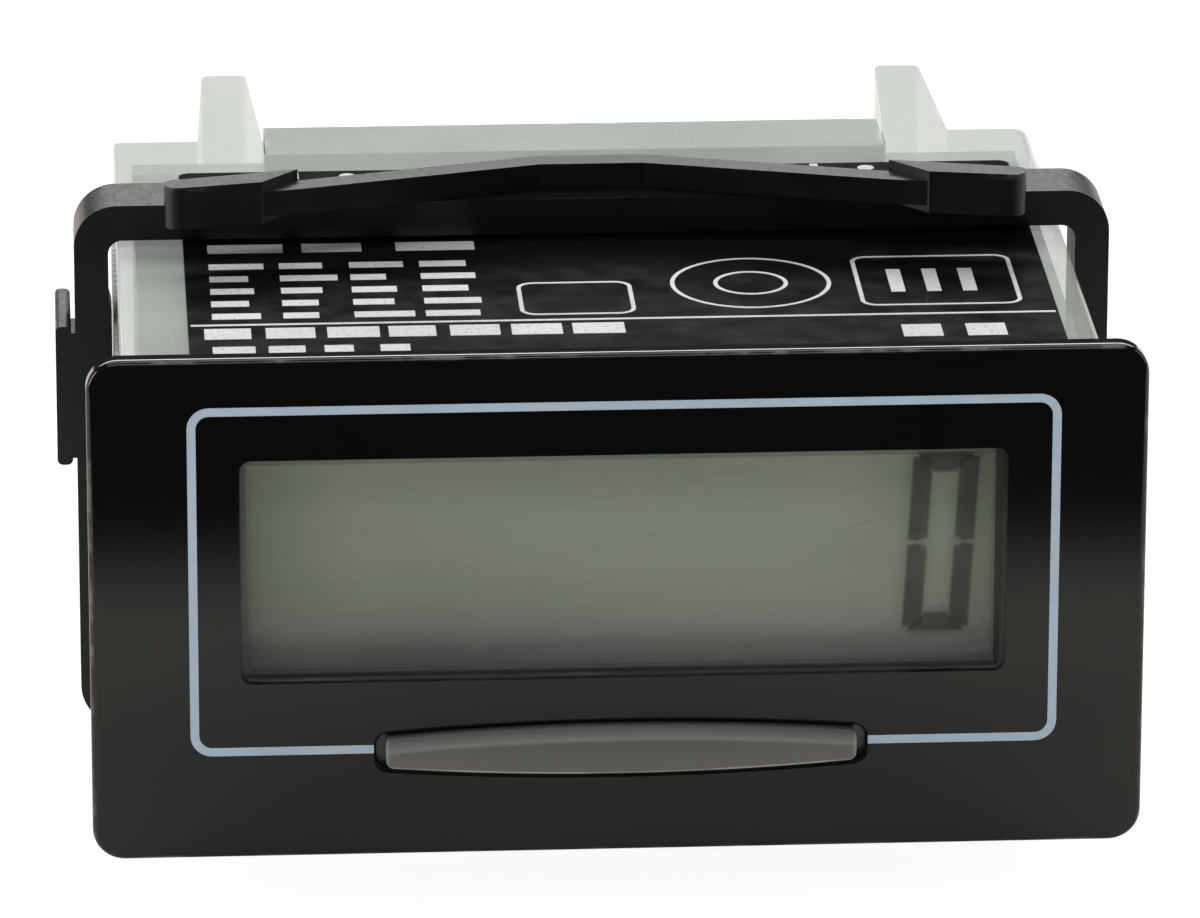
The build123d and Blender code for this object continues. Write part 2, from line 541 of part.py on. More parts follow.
# Clear case: box open at the front, terminal bay and two tapered cheeks at the rear
with BuildPart() as case:
    with BuildSketch(Plane.XZ.offset(SEAT_GROOVE)):
        Rectangle(CASE_W, CASE_H)
    extrude(amount=-(CASE_L + SEAT_GROOVE))
    corners = case.edges().filter_by(Axis.Y).sort_by(lambda edge: edge.center().X + edge.center().Z)
    fillet(corners[:-1], CASE_R)
    corners = case.edges().filter_by(Axis.Y).sort_by(lambda edge: edge.center().X + edge.center().Z)
    fillet(corners[-1], KEY_R)
    with BuildSketch(Plane.XZ.offset(SEAT_GROOVE)):
        Rectangle(CASE_W - 2 * WALL, CASE_H - 2 * WALL)
    extrude(amount=-(CASE_L - WALL + SEAT_GROOVE), mode=Mode.SUBTRACT)
    with BuildSketch(Plane.XZ.offset(-CASE_L)):
        Rectangle(2 * BAY_HALF, CASE_H)
    extrude(amount=CASE_L - BAY_Y, mode=Mode.SUBTRACT)
    for side in (-1, 1):
        with BuildSketch(Plane.XY.offset(-CASE_H / 2)):
            with BuildLine():
                Polyline((side * CHEEK_BASE_IN, CASE_L - 0.5), (side * CHEEK_BASE_OUT, CASE_L - 0.5),
                         (side * CHEEK_TIP_OUT, CASE_L + CHEEK_L), (side * CHEEK_TIP_IN, CASE_L + CHEEK_L),
                         close=True)
            make_face()
            fillet(vertices().group_by(Axis.Y)[-1], 0.7)
        extrude(amount=CASE_H)
        teeth = [(side * CASE_W / 2 - side * 0.2, RACK_Y0)]
        y = RACK_Y0
        while y < RACK_Y1 - RACK_PITCH / 2:
            teeth.append((side * CASE_W / 2, y))
            teeth.append((side * (CASE_W / 2 + RACK_H), y + RACK_PITCH - 0.3))
            teeth.append((side * CASE_W / 2, y + RACK_PITCH - 0.1))
            y += RACK_PITCH
        teeth.append((side * CASE_W / 2 - side * 0.2, y))
        with BuildSketch(Plane.XY.offset(RACK_Z0 if side < 0 else -RACK_Z1)):
            with BuildLine():
                Polyline(*teeth, close=True)
            make_face()
        extrude(amount=RACK_Z1 - RACK_Z0)
        for level in (-1, 1):
            with BuildSketch(Plane.XY.offset(level * (CASE_H / 2 - WALL - 0.5))):
                with Locations((side * ARM_X, 5.85)):
                    Rectangle(ARM_W + 0.4, 1.7)
            extrude(amount=level * (WALL + 1), mode=Mode.SUBTRACT)
    with BuildSketch(Plane.XY.offset(-CASE_H / 2 + WALL)):
        with Locations((0, (PILLAR_Y_FRONT + PILLAR_Y_REAR) / 2)):
            with GridLocations(2 * PILLAR_X, PILLAR_Y_REAR - PILLAR_Y_FRONT, 2, 2):
                Circle(PILLAR_R)
    extrude(amount=MB_Z - BOARD_T + CASE_H / 2 - WALL)
    with BuildSketch(Plane.XY.offset(MB_Z - BOARD_T)):
        with Locations((0, (PILLAR_Y_FRONT + PILLAR_Y_REAR) / 2)):
            with GridLocations(2 * PILLAR_X, PILLAR_Y_REAR - PILLAR_Y_FRONT, 2, 2):
                Circle(PILOT_R)
    extrude(amount=-4.2, mode=Mode.SUBTRACT)
case.part.label = "case"
export_step(case.part, "parts/case.step")

# Printed label on the case's top
with BuildPart() as top_label:
    with BuildSketch(Plane.XY.offset(CASE_H / 2)):
        with Locations(((LABEL_X0 + LABEL_X1) / 2, (LABEL_Y0 + LABEL_Y1) / 2)):
            RectangleRounded(LABEL_X1 - LABEL_X0, LABEL_Y1 - LABEL_Y0, 0.8)
    extrude(amount=LABEL_T)
top_label.part.label = "top_label"
export_step(top_label.part, "parts/top_label.step")

# Mounting clip: one moulding with a collar, two bow springs and two release levers
with BuildPart() as mounting_clip:
    with BuildSketch(Plane.XZ.offset(-CLIP_Y1)):
        RectangleRounded(CLIP_W, CLIP_H, CLIP_R)
        RectangleRounded(CLIP_IN_W, CLIP_IN_H, CLIP_IN_R, mode=Mode.SUBTRACT)
    extrude(amount=CLIP_Y1 - CLIP_Y0)
    for side in (-1, 1):
        front = [(-px, py) for px, py in reversed(BOW_FRONT)] + BOW_FRONT
        rear = [(px, py + BOW_T) for px, py in front]
        end_x, end_y = BOW_FRONT[-1]
        with BuildSketch(Plane.XY.offset(side * BOW_Z0)):
            with BuildLine():
                Polyline(*front)
                ThreePointArc((end_x, end_y), (end_x + BOW_T / 2, end_y + BOW_T / 2), (end_x, end_y + BOW_T))
                Polyline(*reversed(rear))
                ThreePointArc((-end_x, end_y + BOW_T), (-end_x - BOW_T / 2, end_y + BOW_T / 2),
                              (-end_x, end_y))
            make_face()
        extrude(amount=side * (BOW_Z1 - BOW_Z0))
        with BuildSketch(Plane.XY.offset(side * (CLIP_H / 2 - 0.3))):
            with Locations((0, BOW_FRONT[0][1] + BOW_T / 2)):
                Rectangle(2 * ROOT_HALF, BOW_T - 0.1)
        extrude(amount=side * (BOW_Z0 - CLIP_H / 2 + 0.8))
        for hand in (-1, 1):
            with BuildSketch(Plane.XY.offset(side * PAD_Z0)):
                with BuildLine():
                    Polyline((hand * (PAD_IN - 0.4), 25.1), (hand * end_x, end_y))
                    ThreePointArc((hand * end_x, end_y), (hand * (end_x + BOW_T / 2), end_y + BOW_T / 2),
                                  (hand * end_x, end_y + BOW_T))
                    Polyline((hand * end_x, end_y + BOW_T), (hand * (PAD_IN - 3.0), 28.0),
                             (hand * (PAD_IN - 0.4), 25.1))
                make_face()
            extrude(amount=side * (PAD_Z1 - PAD_Z0))
        with BuildSketch(Plane.XZ.offset(-TAB_Y1)):
            with Locations((-side * (TAB_X0 + TAB_X1) / 2, side * (TAB_Z0 + TAB_Z1) / 2)):
                RectangleRounded(TAB_X1 - TAB_X0, TAB_Z1 - TAB_Z0, 0.4)
        extrude(amount=TAB_Y1 - CLIP_Y0)
        with BuildSketch(Plane.XZ.offset(-CLIP_Y0 - 3.4)):
            with Locations((-side * (TAB_X0 + CLIP_W / 2) / 2, side * (TAB_Z0 + TAB_Z1) / 2)):
                Rectangle(TAB_X0 - CLIP_W / 2 + 0.4, TAB_Z1 - TAB_Z0 - 1.0)
        extrude(amount=3.4)
        with BuildSketch(Plane.XZ.offset(-CLIP_Y0 - PAWL_T)):
            with BuildLine():
                root_x = CLIP_IN_W / 2 + 0.1
                Polyline((-side * root_x, side * PAWL_Z0), (-side * PAWL_X, side * (PAWL_Z0 + 0.8)),
                         (-side * PAWL_X, side * PAWL_Z1), (-side * root_x, side * (PAWL_Z1 + 1.2)),
                         close=True)
            make_face()
        extrude(amount=PAWL_T)
mounting_clip.part.label = "mounting_clip"
export_step(mounting_clip.part, "parts/mounting_clip.step")
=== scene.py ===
import math

import bmesh
import bpy
from mathutils import Matrix, Vector


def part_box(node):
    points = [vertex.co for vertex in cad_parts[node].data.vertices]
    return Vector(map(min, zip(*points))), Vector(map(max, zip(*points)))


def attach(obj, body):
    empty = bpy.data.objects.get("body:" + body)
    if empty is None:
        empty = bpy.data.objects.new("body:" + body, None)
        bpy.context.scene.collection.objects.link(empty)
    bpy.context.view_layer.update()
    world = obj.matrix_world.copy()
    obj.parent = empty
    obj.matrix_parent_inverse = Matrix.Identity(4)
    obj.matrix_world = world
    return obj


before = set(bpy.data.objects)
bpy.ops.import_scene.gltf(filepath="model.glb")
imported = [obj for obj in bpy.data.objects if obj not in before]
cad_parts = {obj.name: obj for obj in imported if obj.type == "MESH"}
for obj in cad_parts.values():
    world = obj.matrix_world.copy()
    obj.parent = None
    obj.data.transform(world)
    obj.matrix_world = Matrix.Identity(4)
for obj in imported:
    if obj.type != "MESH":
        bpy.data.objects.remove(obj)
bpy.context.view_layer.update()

scene = bpy.context.scene
mm = 0.001

# Bezel: one glossy black ABS moulding with a rounded front edge. Its edge is painted pale in places, partly
# as wear and partly as a painted highlight, and a few specks of dust lie on the polished face.
BEZEL_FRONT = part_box("bezel")[0].y


def tone(red, green, blue):
    """Linear colour of a display tone from 0 to 255."""
    return tuple(((v / 255 + 0.055) / 1.055) ** 2.4 if v > 10 else v / 255 / 12.92
                 for v in (red, green, blue)) + (1.0,)


def node(tree, kind, sockets=None, **settings):
    """Add a node to a tree, with its settings and with its sockets fed by links or values."""
    made = tree.nodes.new(kind)
    for name, value in settings.items():
        setattr(made, name, value)
    for key, value in (sockets or {}).items():
        if isinstance(value, bpy.types.NodeSocket):
            tree.links.new(value, made.inputs[key])
        else:
            made.inputs[key].default_value = value
    return made


def sums(tree, operation, *values):
    """One Math node; returns its result."""
    return node(tree, "ShaderNodeMath", dict(enumerate(values)), operation=operation).outputs[0]


def vectors(tree, operation, *values):
    """One Vector Math node; returns its vector."""
    return node(tree, "ShaderNodeVectorMath", dict(enumerate(values)), operation=operation).outputs[0]


def ramp(tree, value, low, high, start=0.0, end=1.0):
    """Smooth step of a value from start to end as it goes from low to high."""
    sockets = {"Value": value, "From Min": low, "From Max": high, "To Min": start, "To Max": end}
    return node(tree, "ShaderNodeMapRange", sockets, interpolation_type="SMOOTHSTEP").outputs[0]


def blend_colours(tree, factor, first, second):
    """Mix two colours by a factor."""
    return node(tree, "ShaderNodeMix", {0: factor, 6: first, 7: second}, data_type="RGBA").outputs[2]


def place(tree):
    """Object coordinates of the surface."""
    return node(tree, "ShaderNodeTexCoord").outputs["Object"]


def axes(tree, vector=None):
    """The three parts of a vector, or of the surface's object coordinates."""
    return node(tree, "ShaderNodeSeparateXYZ", {0: place(tree) if vector is None else vector}).outputs


def bumps(tree, height, strength, distance):
    """Normal of a relief of a given height."""
    sockets = {"Height": height, "Strength": strength, "Distance": distance}
    return node(tree, "ShaderNodeBump", sockets).outputs[0]


def choose(tree, mask, first, second):
    """First number where the mask is 0, second where it is 1."""
    return node(tree, "ShaderNodeMix", {0: mask, 2: first, 3: second}, data_type="FLOAT").outputs[0]


def feed(tree, shader, **sockets):
    """Link results to a shader's sockets; underscores stand for spaces."""
    for label, value in sockets.items():
        tree.links.new(value, shader.inputs[label.replace("_", " ")])


def effect_group(name, inputs, outputs):
    """A shader node group with named sockets; returns the tree, its input node and its output node."""
    tree = bpy.data.node_groups.new(name, "ShaderNodeTree")
    for label, kind, value in inputs:
        tree.interface.new_socket(label, in_out="INPUT", socket_type=kind).default_value = value
    for label, kind in outputs:
        tree.interface.new_socket(label, in_out="OUTPUT", socket_type=kind)
    return tree, tree.nodes.new("NodeGroupInput"), tree.nodes.new("NodeGroupOutput")


def grain_group():
    """Fine moulded or sprayed grain, with a slow change of shade; stretched by Stretch."""
    tree, given, out = effect_group(
        "Fine grain",
        [("Grain", "NodeSocketFloat", 4000.0), ("Drift", "NodeSocketFloat", 60.0),
         ("Stretch", "NodeSocketVector", (1.0, 1.0, 1.0))],
        [("Height", "NodeSocketFloat"), ("Shade", "NodeSocketFloat")])
    where = vectors(tree, "MULTIPLY", place(tree), given.outputs["Stretch"])
    fine = node(tree, "ShaderNodeTexNoise",
                {"Vector": where, "Scale": given.outputs["Grain"], "Detail": 3.0, "Roughness": 0.6})
    slow = node(tree, "ShaderNodeTexNoise",
                {"Vector": place(tree), "Scale": given.outputs["Drift"], "Detail": 2.0})
    tree.links.new(fine.outputs[0], out.inputs["Height"])
    tree.links.new(ramp(tree, slow.outputs[0], 0.3, 0.7), out.inputs["Shade"])
    return tree


def wear_group():
    """Pale edges of a box-shaped piece, for wear and a painted edge highlight: near two of its faces at once,
    and broken up.
    """
    tree, given, out = effect_group(
        "Edge wear and painted highlight",
        [("Centre", "NodeSocketVector", (0.0, 0.0, 0.0)), ("Half size", "NodeSocketVector", (1.0, 1.0, 1.0)),
         ("Width", "NodeSocketFloat", 0.0005), ("Breakup", "NodeSocketFloat", 500.0)],
        [("Mask", "NodeSocketFloat")])
    from_middle = vectors(tree, "ABSOLUTE", vectors(tree, "SUBTRACT", place(tree), given.outputs["Centre"]))
    gap = axes(tree, vectors(tree, "SUBTRACT", given.outputs["Half size"], from_middle))
    nearer = sums(tree, "MINIMUM", gap[0], gap[1])
    further = sums(tree, "MAXIMUM", gap[0], gap[1])
    second = sums(tree, "MAXIMUM", nearer, sums(tree, "MINIMUM", further, gap[2]))
    close = ramp(tree, second, given.outputs["Width"], 0.0)
    patches = node(tree, "ShaderNodeTexNoise",
                   {"Vector": place(tree), "Scale": given.outputs["Breakup"], "Detail": 4.0})
    mask = sums(tree, "MULTIPLY", close, ramp(tree, patches.outputs[0], 0.45, 0.68))
    tree.links.new(mask, out.inputs["Mask"])
    return tree


def dust_group():
    """Sparse pale specks of dust."""
    tree, given, out = effect_group(
        "Dust specks",
        [("Spacing", "NodeSocketFloat", 0.006), ("Size", "NodeSocketFloat", 0.0001)],
        [("Mask", "NodeSocketFloat")])
    per_metre = sums(tree, "DIVIDE", 1.0, given.outputs["Spacing"])
    cells = node(tree, "ShaderNodeTexVoronoi", {"Vector": place(tree), "Scale": per_metre})
    lucky = node(tree, "ShaderNodeSeparateColor", {0: cells.outputs["Color"]}).outputs
    reach = sums(tree, "MULTIPLY", sums(tree, "MULTIPLY", given.outputs["Size"], per_metre), lucky[1])
    near = sums(tree, "LESS_THAN", cells.outputs["Distance"], reach)
    kept = sums(tree, "GREATER_THAN", lucky[0], 0.55)
    tree.links.new(sums(tree, "MULTIPLY", near, kept), out.inputs["Mask"])
    return tree


GRAIN, WEAR_AND_HIGHLIGHT, DUST = grain_group(), wear_group(), dust_group()


def use_group(tree, group, **sockets):
    """Place an effect group in a material with its own values; underscores stand for spaces."""
    made = node(tree, "ShaderNodeGroup", node_tree=group)
    for label, value in sockets.items():
        socket = made.inputs[label.replace("_", " ")]
        if isinstance(value, bpy.types.NodeSocket):
            tree.links.new(value, socket)
        else:
            socket.default_value = value
    return made.outputs


def blank_finish(name, **sockets):
    """A new material; returns it with its tree and its shader, uniform numbers set on the shader."""
    material = bpy.data.materials.new(name)
    material.use_nodes = True
    shader = material.node_tree.nodes["Principled BSDF"]
    for label, value in sockets.items():
        shader.inputs[label.replace("_", " ")].default_value = value
    return material, material.node_tree, shader


def moulding(name, deep, pale, rough, grain=3500.0, relief=0.004, drift=60.0, wear_and_highlight=None, box=None,
             edge=0.0004, specks=0.0, speck_size=0.0001):
    """A moulded, cast or sprayed finish: two close tones, fine grain, pale edges for wear and a painted
    highlight, and dust.
    """
    material, tree, shader = blank_finish(name)
    fine = use_group(tree, GRAIN, Grain=grain, Drift=drift)
    colour = blend_colours(tree, fine["Shade"], deep, pale)
    roughness = ramp(tree, fine["Height"], 0.3, 0.7, rough * 0.85, rough * 1.15)
    # Pale edges: partly wear, partly a painted highlight along the edges.
    if wear_and_highlight:
        low, high = box
        pale_glint = use_group(tree, WEAR_AND_HIGHLIGHT, Centre=(low + high) / 2, Half_size=(high - low) / 2,
                           Width=edge)["Mask"]
        colour = blend_colours(tree, pale_glint, colour, wear_and_highlight)
        roughness = sums(tree, "MAXIMUM", roughness, sums(tree, "MULTIPLY", pale_glint, 0.5))
    if specks:
        dust = use_group(tree, DUST, Spacing=specks, Size=speck_size)["Mask"]
        colour = blend_colours(tree, dust, colour, tone(205, 205, 200))
        roughness = sums(tree, "MAXIMUM", roughness, dust)
    feed(tree, shader, Base_Color=colour, Roughness=roughness)
    feed(tree, shader, Normal=bumps(tree, fine["Height"], 0.5, relief * mm))
    return material


def coat(material, *nodes):
    """Give CAD nodes a material."""
    for name in nodes:
        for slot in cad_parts[name].material_slots:
            slot.material = material


# Pale, broken-up edges: wear and a painted edge highlight.
bezel_gloss = moulding("bezel_gloss_black", tone(7, 7, 7), tone(13, 12, 11), 0.09, grain=900, relief=0.0015,
                       wear_and_highlight=tone(120, 118, 112), box=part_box("bezel"), edge=0.00035, specks=0.011,
                       speck_size=0.00012)
coat(bezel_gloss, "bezel")

# Printed frame: a thin line of pale blue ink, screen-printed round the window and stopped at
# the button's slot.
LINE_LEFT, LINE_RIGHT, LINE_LOW, LINE_HIGH = -28.95 * mm, 29.74 * mm, -10.2 * mm, 14.3 * mm
SLOT_LEFT, SLOT_RIGHT = -16.75 * mm, 17.1 * mm
LINE_WIDTH, LINE_BEND, INK_DEPTH = 0.6 * mm, 1.2 * mm, 0.02 * mm


def thin_solid(shape, outline, low, high, axis=1):
    """Add a flat outline to a bmesh as a closed solid between two depths along an axis."""
    rings = []
    for depth in (low, high):
        ring = []
        for point in outline:
            corner = list(point)
            corner.insert(axis, depth)
            ring.append(shape.verts.new(corner))
        rings.append(ring)
    count = len(outline)
    shape.faces.new(rings[0])
    shape.faces.new(rings[1][::-1])
    for i in range(count):
        j = (i + 1) % count
        shape.faces.new((rings[0][i], rings[1][i], rings[1][j], rings[0][j]))


def band_solid(shape, inner, outer, low, high, axis=1, closed=True):
    """Add the band between two outlines of equal length to a bmesh as a closed solid."""
    grid = []
    for depth, line in ((low, outer), (low, inner), (high, inner), (high, outer)):
        row = []
        for point in line:
            corner = list(point)
            corner.insert(axis, depth)
            row.append(shape.verts.new(corner))
        grid.append(row)
    count = len(inner)
    for side in range(4):
        first, second = grid[side], grid[(side + 1) % 4]
        for i in range(count if closed else count - 1):
            j = (i + 1) % count
            shape.faces.new((first[i], first[j], second[j], second[i]))
    if not closed:
        shape.faces.new([row[0] for row in grid])
        shape.faces.new([row[-1] for row in grid])


def finished(name, shape, material):
    """Turn a bmesh into a named piece that rides on the housing and takes the given finish."""
    bmesh.ops.remove_doubles(shape, verts=shape.verts, dist=1e-8)
    bmesh.ops.recalc_face_normals(shape, faces=shape.faces)
    mesh = bpy.data.meshes.new(name)
    shape.to_mesh(mesh)
    shape.free()
    mesh.materials.append(material)
    piece = bpy.data.objects.new(name, mesh)
    scene.collection.objects.link(piece)
    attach(piece, "housing")


def rounded_path(left, right, low, high, bend, grow=0.0, start=0.0, stop=0.0, steps=8):
    """Points round a rounded rectangle between two places on its lower side, grown outwards."""
    centres = ((right - bend, low + bend, -90), (right - bend, high - bend, 0),
               (left + bend, high - bend, 90), (left + bend, low + bend, 180))
    points = [(start, low - grow)]
    for cx, cz, first in centres:
        for step in range(steps + 1):
            angle = math.radians(first + 90 * step / steps)
            points.append((cx + (bend + grow) * math.cos(angle), cz + (bend + grow) * math.sin(angle)))
    points.append((stop, low - grow))
    return points


ink_blue = moulding("pale_blue_ink", tone(176, 196, 212), tone(186, 204, 218), 0.35, grain=2500,
                    relief=0.003, drift=200)
ring = bmesh.new()
sizes = (LINE_LEFT, LINE_RIGHT, LINE_LOW, LINE_HIGH, LINE_BEND)
band_solid(ring, rounded_path(*sizes, grow=-LINE_WIDTH / 2, start=SLOT_RIGHT, stop=SLOT_LEFT),
           rounded_path(*sizes, grow=LINE_WIDTH / 2, start=SLOT_RIGHT, stop=SLOT_LEFT),
           BEZEL_FRONT - INK_DEPTH, BEZEL_FRONT, closed=False)
finished("printed_frame", ring, ink_blue)

# Window: a tray moulded in clear acrylic. Its plate is thin and clear, with specks of dust; its upright
# walls, seen on edge, carry a painted grey veil with pale streaks, a painted reflection of the light the
# clear walls catch.
lens_low, lens_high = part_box("window_lens")
LENS_CENTRE = (lens_low + lens_high) / 2
LENS_HALF = Vector((25.7 * mm, 0, 7.65 * mm))

WALL_BLEND = 0.1 * mm
window, tree, shader = blank_finish("window_acrylic", Roughness=0.06)
where = axes(tree, vectors(tree, "ABSOLUTE", vectors(tree, "SUBTRACT", place(tree), LENS_CENTRE)))
in_wall = sums(
    tree, "MAXIMUM", ramp(tree, where[0], LENS_HALF.x - WALL_BLEND, LENS_HALF.x + WALL_BLEND / 2),
    ramp(tree, where[2], LENS_HALF.z - WALL_BLEND, LENS_HALF.z + WALL_BLEND / 2))
near_plate = ramp(tree, axes(tree)[1], 1.3 * mm, 0.2 * mm)
in_wall = sums(tree, "MULTIPLY", in_wall, near_plate)
lines = use_group(tree, GRAIN, Grain=700, Drift=400, Stretch=(0.12, 6.0, 6.0))
specks = use_group(tree, DUST, Spacing=0.0085, Size=0.00016)["Mask"]
# Painted reflection: the walls' grey veil and pale streaks stand in for light caught in the clear walls seen
# on edge.
wall_sheen_tone = blend_colours(tree, ramp(tree, lines["Height"], 0.5, 0.66), tone(56, 57, 54), tone(116, 117, 113))
colour = blend_colours(tree, specks, wall_sheen_tone, tone(240, 240, 235))
alpha = sums(tree, "MAXIMUM", sums(tree, "ADD", 0.06, sums(tree, "MULTIPLY", in_wall, 0.3)), specks)
feed(tree, shader, Base_Color=colour, Alpha=alpha, Normal=bumps(tree, lines["Height"], 0.2, 0.01 * mm))
coat(window, "window_lens")

# Display: two glass plates with the liquid crystal between them, a polarising film on each
# outer side, and a grey-green reflector printed on the rear film. The digit 0 is switched on.
DIGIT_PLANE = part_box("rear_glass")[0].y
DIGIT_LEFT, DIGIT_RIGHT, DIGIT_LOW, DIGIT_HIGH = 19.8 * mm, 24.2 * mm, -3.85 * mm, 8.9 * mm
DIGIT_LEAN, STROKE, NICK, SHADOW_HALO = 0.055, 1.2 * mm, 0.3 * mm, 0.14 * mm
LAYER, CUT_EDGE = 0.02 * mm, 1.2 * mm


def clear_layer(name, tint, alpha, rough, edge_tone, box):
    """A clear sheet: faint tint over its area, a denser tone towards its cut edges."""
    material, tree, shader = blank_finish(name, Roughness=rough)
    low, high = box
    half = (high - low) / 2
    away = vectors(tree, "ABSOLUTE", vectors(tree, "SUBTRACT", place(tree), (low + high) / 2))
    gap = axes(tree, vectors(tree, "SUBTRACT", half, away))
    rim = ramp(tree, sums(tree, "MINIMUM", gap[0], gap[2]), CUT_EDGE, 0.0)
    fine = use_group(tree, GRAIN, Grain=1500.0, Drift=45)
    area = blend_colours(tree, fine["Shade"], tint, edge_tone)
    cloud = sums(tree, "ADD", alpha, sums(tree, "MULTIPLY", rim, 0.3))
    uneven = ramp(tree, fine["Shade"], 0.0, 1.0, 0.92, 1.08)
    feed(tree, shader, Base_Color=blend_colours(tree, rim, area, edge_tone),
         Alpha=sums(tree, "MULTIPLY", cloud, uneven))
    feed(tree, shader, Normal=bumps(tree, fine["Height"], 0.1, 0.002 * mm))
    return material


coat(clear_layer("polarising_film", tone(96, 104, 84), 0.16, 0.3, tone(70, 76, 62),
                 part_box("front_polariser")), "front_polariser")
for plate in ("front_glass", "rear_glass"):
    coat(clear_layer("display_" + plate, tone(150, 165, 150), 0.045, 0.08, tone(96, 128, 112),
                     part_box(plate)), plate)
reflector, tree, shader = blank_finish("grey_green_reflector")
fine = use_group(tree, GRAIN, Grain=2200, Drift=70, Stretch=(0.35, 1.0, 1.6))
height = axes(tree)[2]
# Painted light: the reflector is paler towards the bottom, making up for the shade there.
sprayed = blend_colours(tree, fine["Shade"], tone(228, 237, 211), tone(235, 243, 219))
painted_light_low_tone = blend_colours(tree, fine["Shade"], tone(250, 250, 246), tone(255, 254, 250))
feed(tree, shader, Base_Color=blend_colours(tree, ramp(tree, height, 0.0, -5.5 * mm), sprayed, painted_light_low_tone))
feed(tree, shader, Roughness=ramp(tree, fine["Height"], 0.3, 0.7, 0.42, 0.58))
feed(tree, shader, Normal=bumps(tree, fine["Height"], 0.5, 0.02 * mm))
coat(reflector, "rear_reflector")


def bar_outline(x0, z0, x1, z1, side, grow):
    """One lit bar from one node of the digit to another, mitred on its inner side, grown outwards."""
    half, wide = NICK - grow, STROKE + 2 * grow
    if x1 != x0:
        z0 -= side * grow
        return [(x0 + half, z0), (x1 - half, z0), (x1 - STROKE - half, z0 + side * wide),
                (x0 + STROKE + half, z0 + side * wide)]
    x0 -= side * grow
    return [(x0, z0 + half), (x0, z1 - half), (x0 + side * wide / 2, z1 - half / 2),
            (x0 + side * wide, z1 - half - STROKE / 8), (x0 + side * wide, z0 + half + STROKE / 8),
            (x0 + side * wide / 2, z0 + half / 2)]


# The two grown, fainter copies are a painted soft shadow round the lit bars.
middle = (DIGIT_LOW + DIGIT_HIGH) / 2
for name, grow, front, thinnest, densest in (("lit_digit", 0.0, -0.03 * mm, 0.22, 0.28),
                                             ("lit_digit_middle", SHADOW_HALO / 2, -0.06 * mm, 0.12, 0.15),
                                             ("lit_digit_edge", SHADOW_HALO, -0.09 * mm, 0.1, 0.13)):
    digit_ink, tree, shader = blank_finish(name + "_crystal", Roughness=0.4)
    soft = use_group(tree, GRAIN, Grain=1800, Drift=300)
    feed(tree, shader, Base_Color=blend_colours(tree, soft["Shade"], tone(42, 50, 54), tone(52, 59, 62)),
         Alpha=ramp(tree, soft["Shade"], 0.0, 1.0, thinnest, densest))
    digit = bmesh.new()
    bars = (bar_outline(DIGIT_LEFT, DIGIT_HIGH, DIGIT_RIGHT, DIGIT_HIGH, -1, grow),
            bar_outline(DIGIT_LEFT, DIGIT_LOW, DIGIT_RIGHT, DIGIT_LOW, 1, grow),
            bar_outline(DIGIT_LEFT, middle, DIGIT_LEFT, DIGIT_HIGH, 1, grow),
            bar_outline(DIGIT_LEFT, DIGIT_LOW, DIGIT_LEFT, middle, 1, grow),
            bar_outline(DIGIT_RIGHT, middle, DIGIT_RIGHT, DIGIT_HIGH, -1, grow),
            bar_outline(DIGIT_RIGHT, DIGIT_LOW, DIGIT_RIGHT, middle, -1, grow))
    for bar in bars:
        thin_solid(digit, [(x + (z - DIGIT_LOW) * DIGIT_LEAN, z) for x, z in bar],
                   DIGIT_PLANE + front, DIGIT_PLANE + front + LAYER)
    finished(name, digit, digit_ink)

glass_low, glass_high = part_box("rear_glass")
seal = bmesh.new()
sizes = (glass_low.x, glass_high.x, glass_low.z, glass_high.z, 0.8 * mm)
band_solid(seal, rounded_path(*sizes, grow=-0.9 * mm)[1:-1], rounded_path(*sizes, grow=-0.15 * mm)[1:-1],
           DIGIT_PLANE - LAYER, DIGIT_PLANE + LAYER)
seal_grey = moulding("grey_edge_seal", tone(70, 72, 68), tone(84, 85, 80), 0.5, grain=2500)
finished("display_seal", seal, seal_grey)

# Display holder: a white moulded tray behind the glass, with four self-tapping screws into the
# bezel's bosses and a striped silicone connector that joins the glass to its board.
coat(moulding("white_nylon", tone(222, 222, 214), tone(234, 233, 226), 0.45, grain=2600, relief=0.01,
              drift=90), "display_holder", "optocouplers")


def metal(name, dark, bright, rough, grain=2600.0, relief=0.006, stretch=(1.0, 1.0, 1.0)):
    """A plated or drawn metal: fine directional lines and slow clouding."""
    material, tree, shader = blank_finish(name, Metallic=1.0)
    fine = use_group(tree, GRAIN, Grain=grain, Drift=180.0, Stretch=stretch)
    feed(tree, shader, Base_Color=blend_colours(tree, fine["Shade"], dark, bright))
    feed(tree, shader, Roughness=ramp(tree, fine["Height"], 0.3, 0.7, rough * 0.8, rough * 1.3))
    feed(tree, shader, Normal=bumps(tree, fine["Height"], 0.6, relief * mm))
    return material


zinc = metal("zinc_plated_steel", tone(168, 168, 160), tone(206, 206, 198), 0.3)
coat(zinc, "display_screws", "board_screws")

STRIPE_PITCH = 0.36 * mm
striped, tree, shader = blank_finish("striped_silicone")
across = axes(tree)[0]
wave = sums(tree, "FRACT", sums(tree, "MULTIPLY", across, 1.0 / STRIPE_PITCH))
soft = use_group(tree, GRAIN, Grain=1200, Drift=200)
silicone = blend_colours(tree, soft["Shade"], tone(212, 208, 198), tone(196, 190, 180))
feed(tree, shader, Base_Color=blend_colours(tree, ramp(tree, wave, 0.42, 0.5), silicone, tone(34, 34, 38)))
feed(tree, shader, Roughness=ramp(tree, soft["Height"], 0.3, 0.7, 0.5, 0.62))
coat(striped, "zebra_strip")

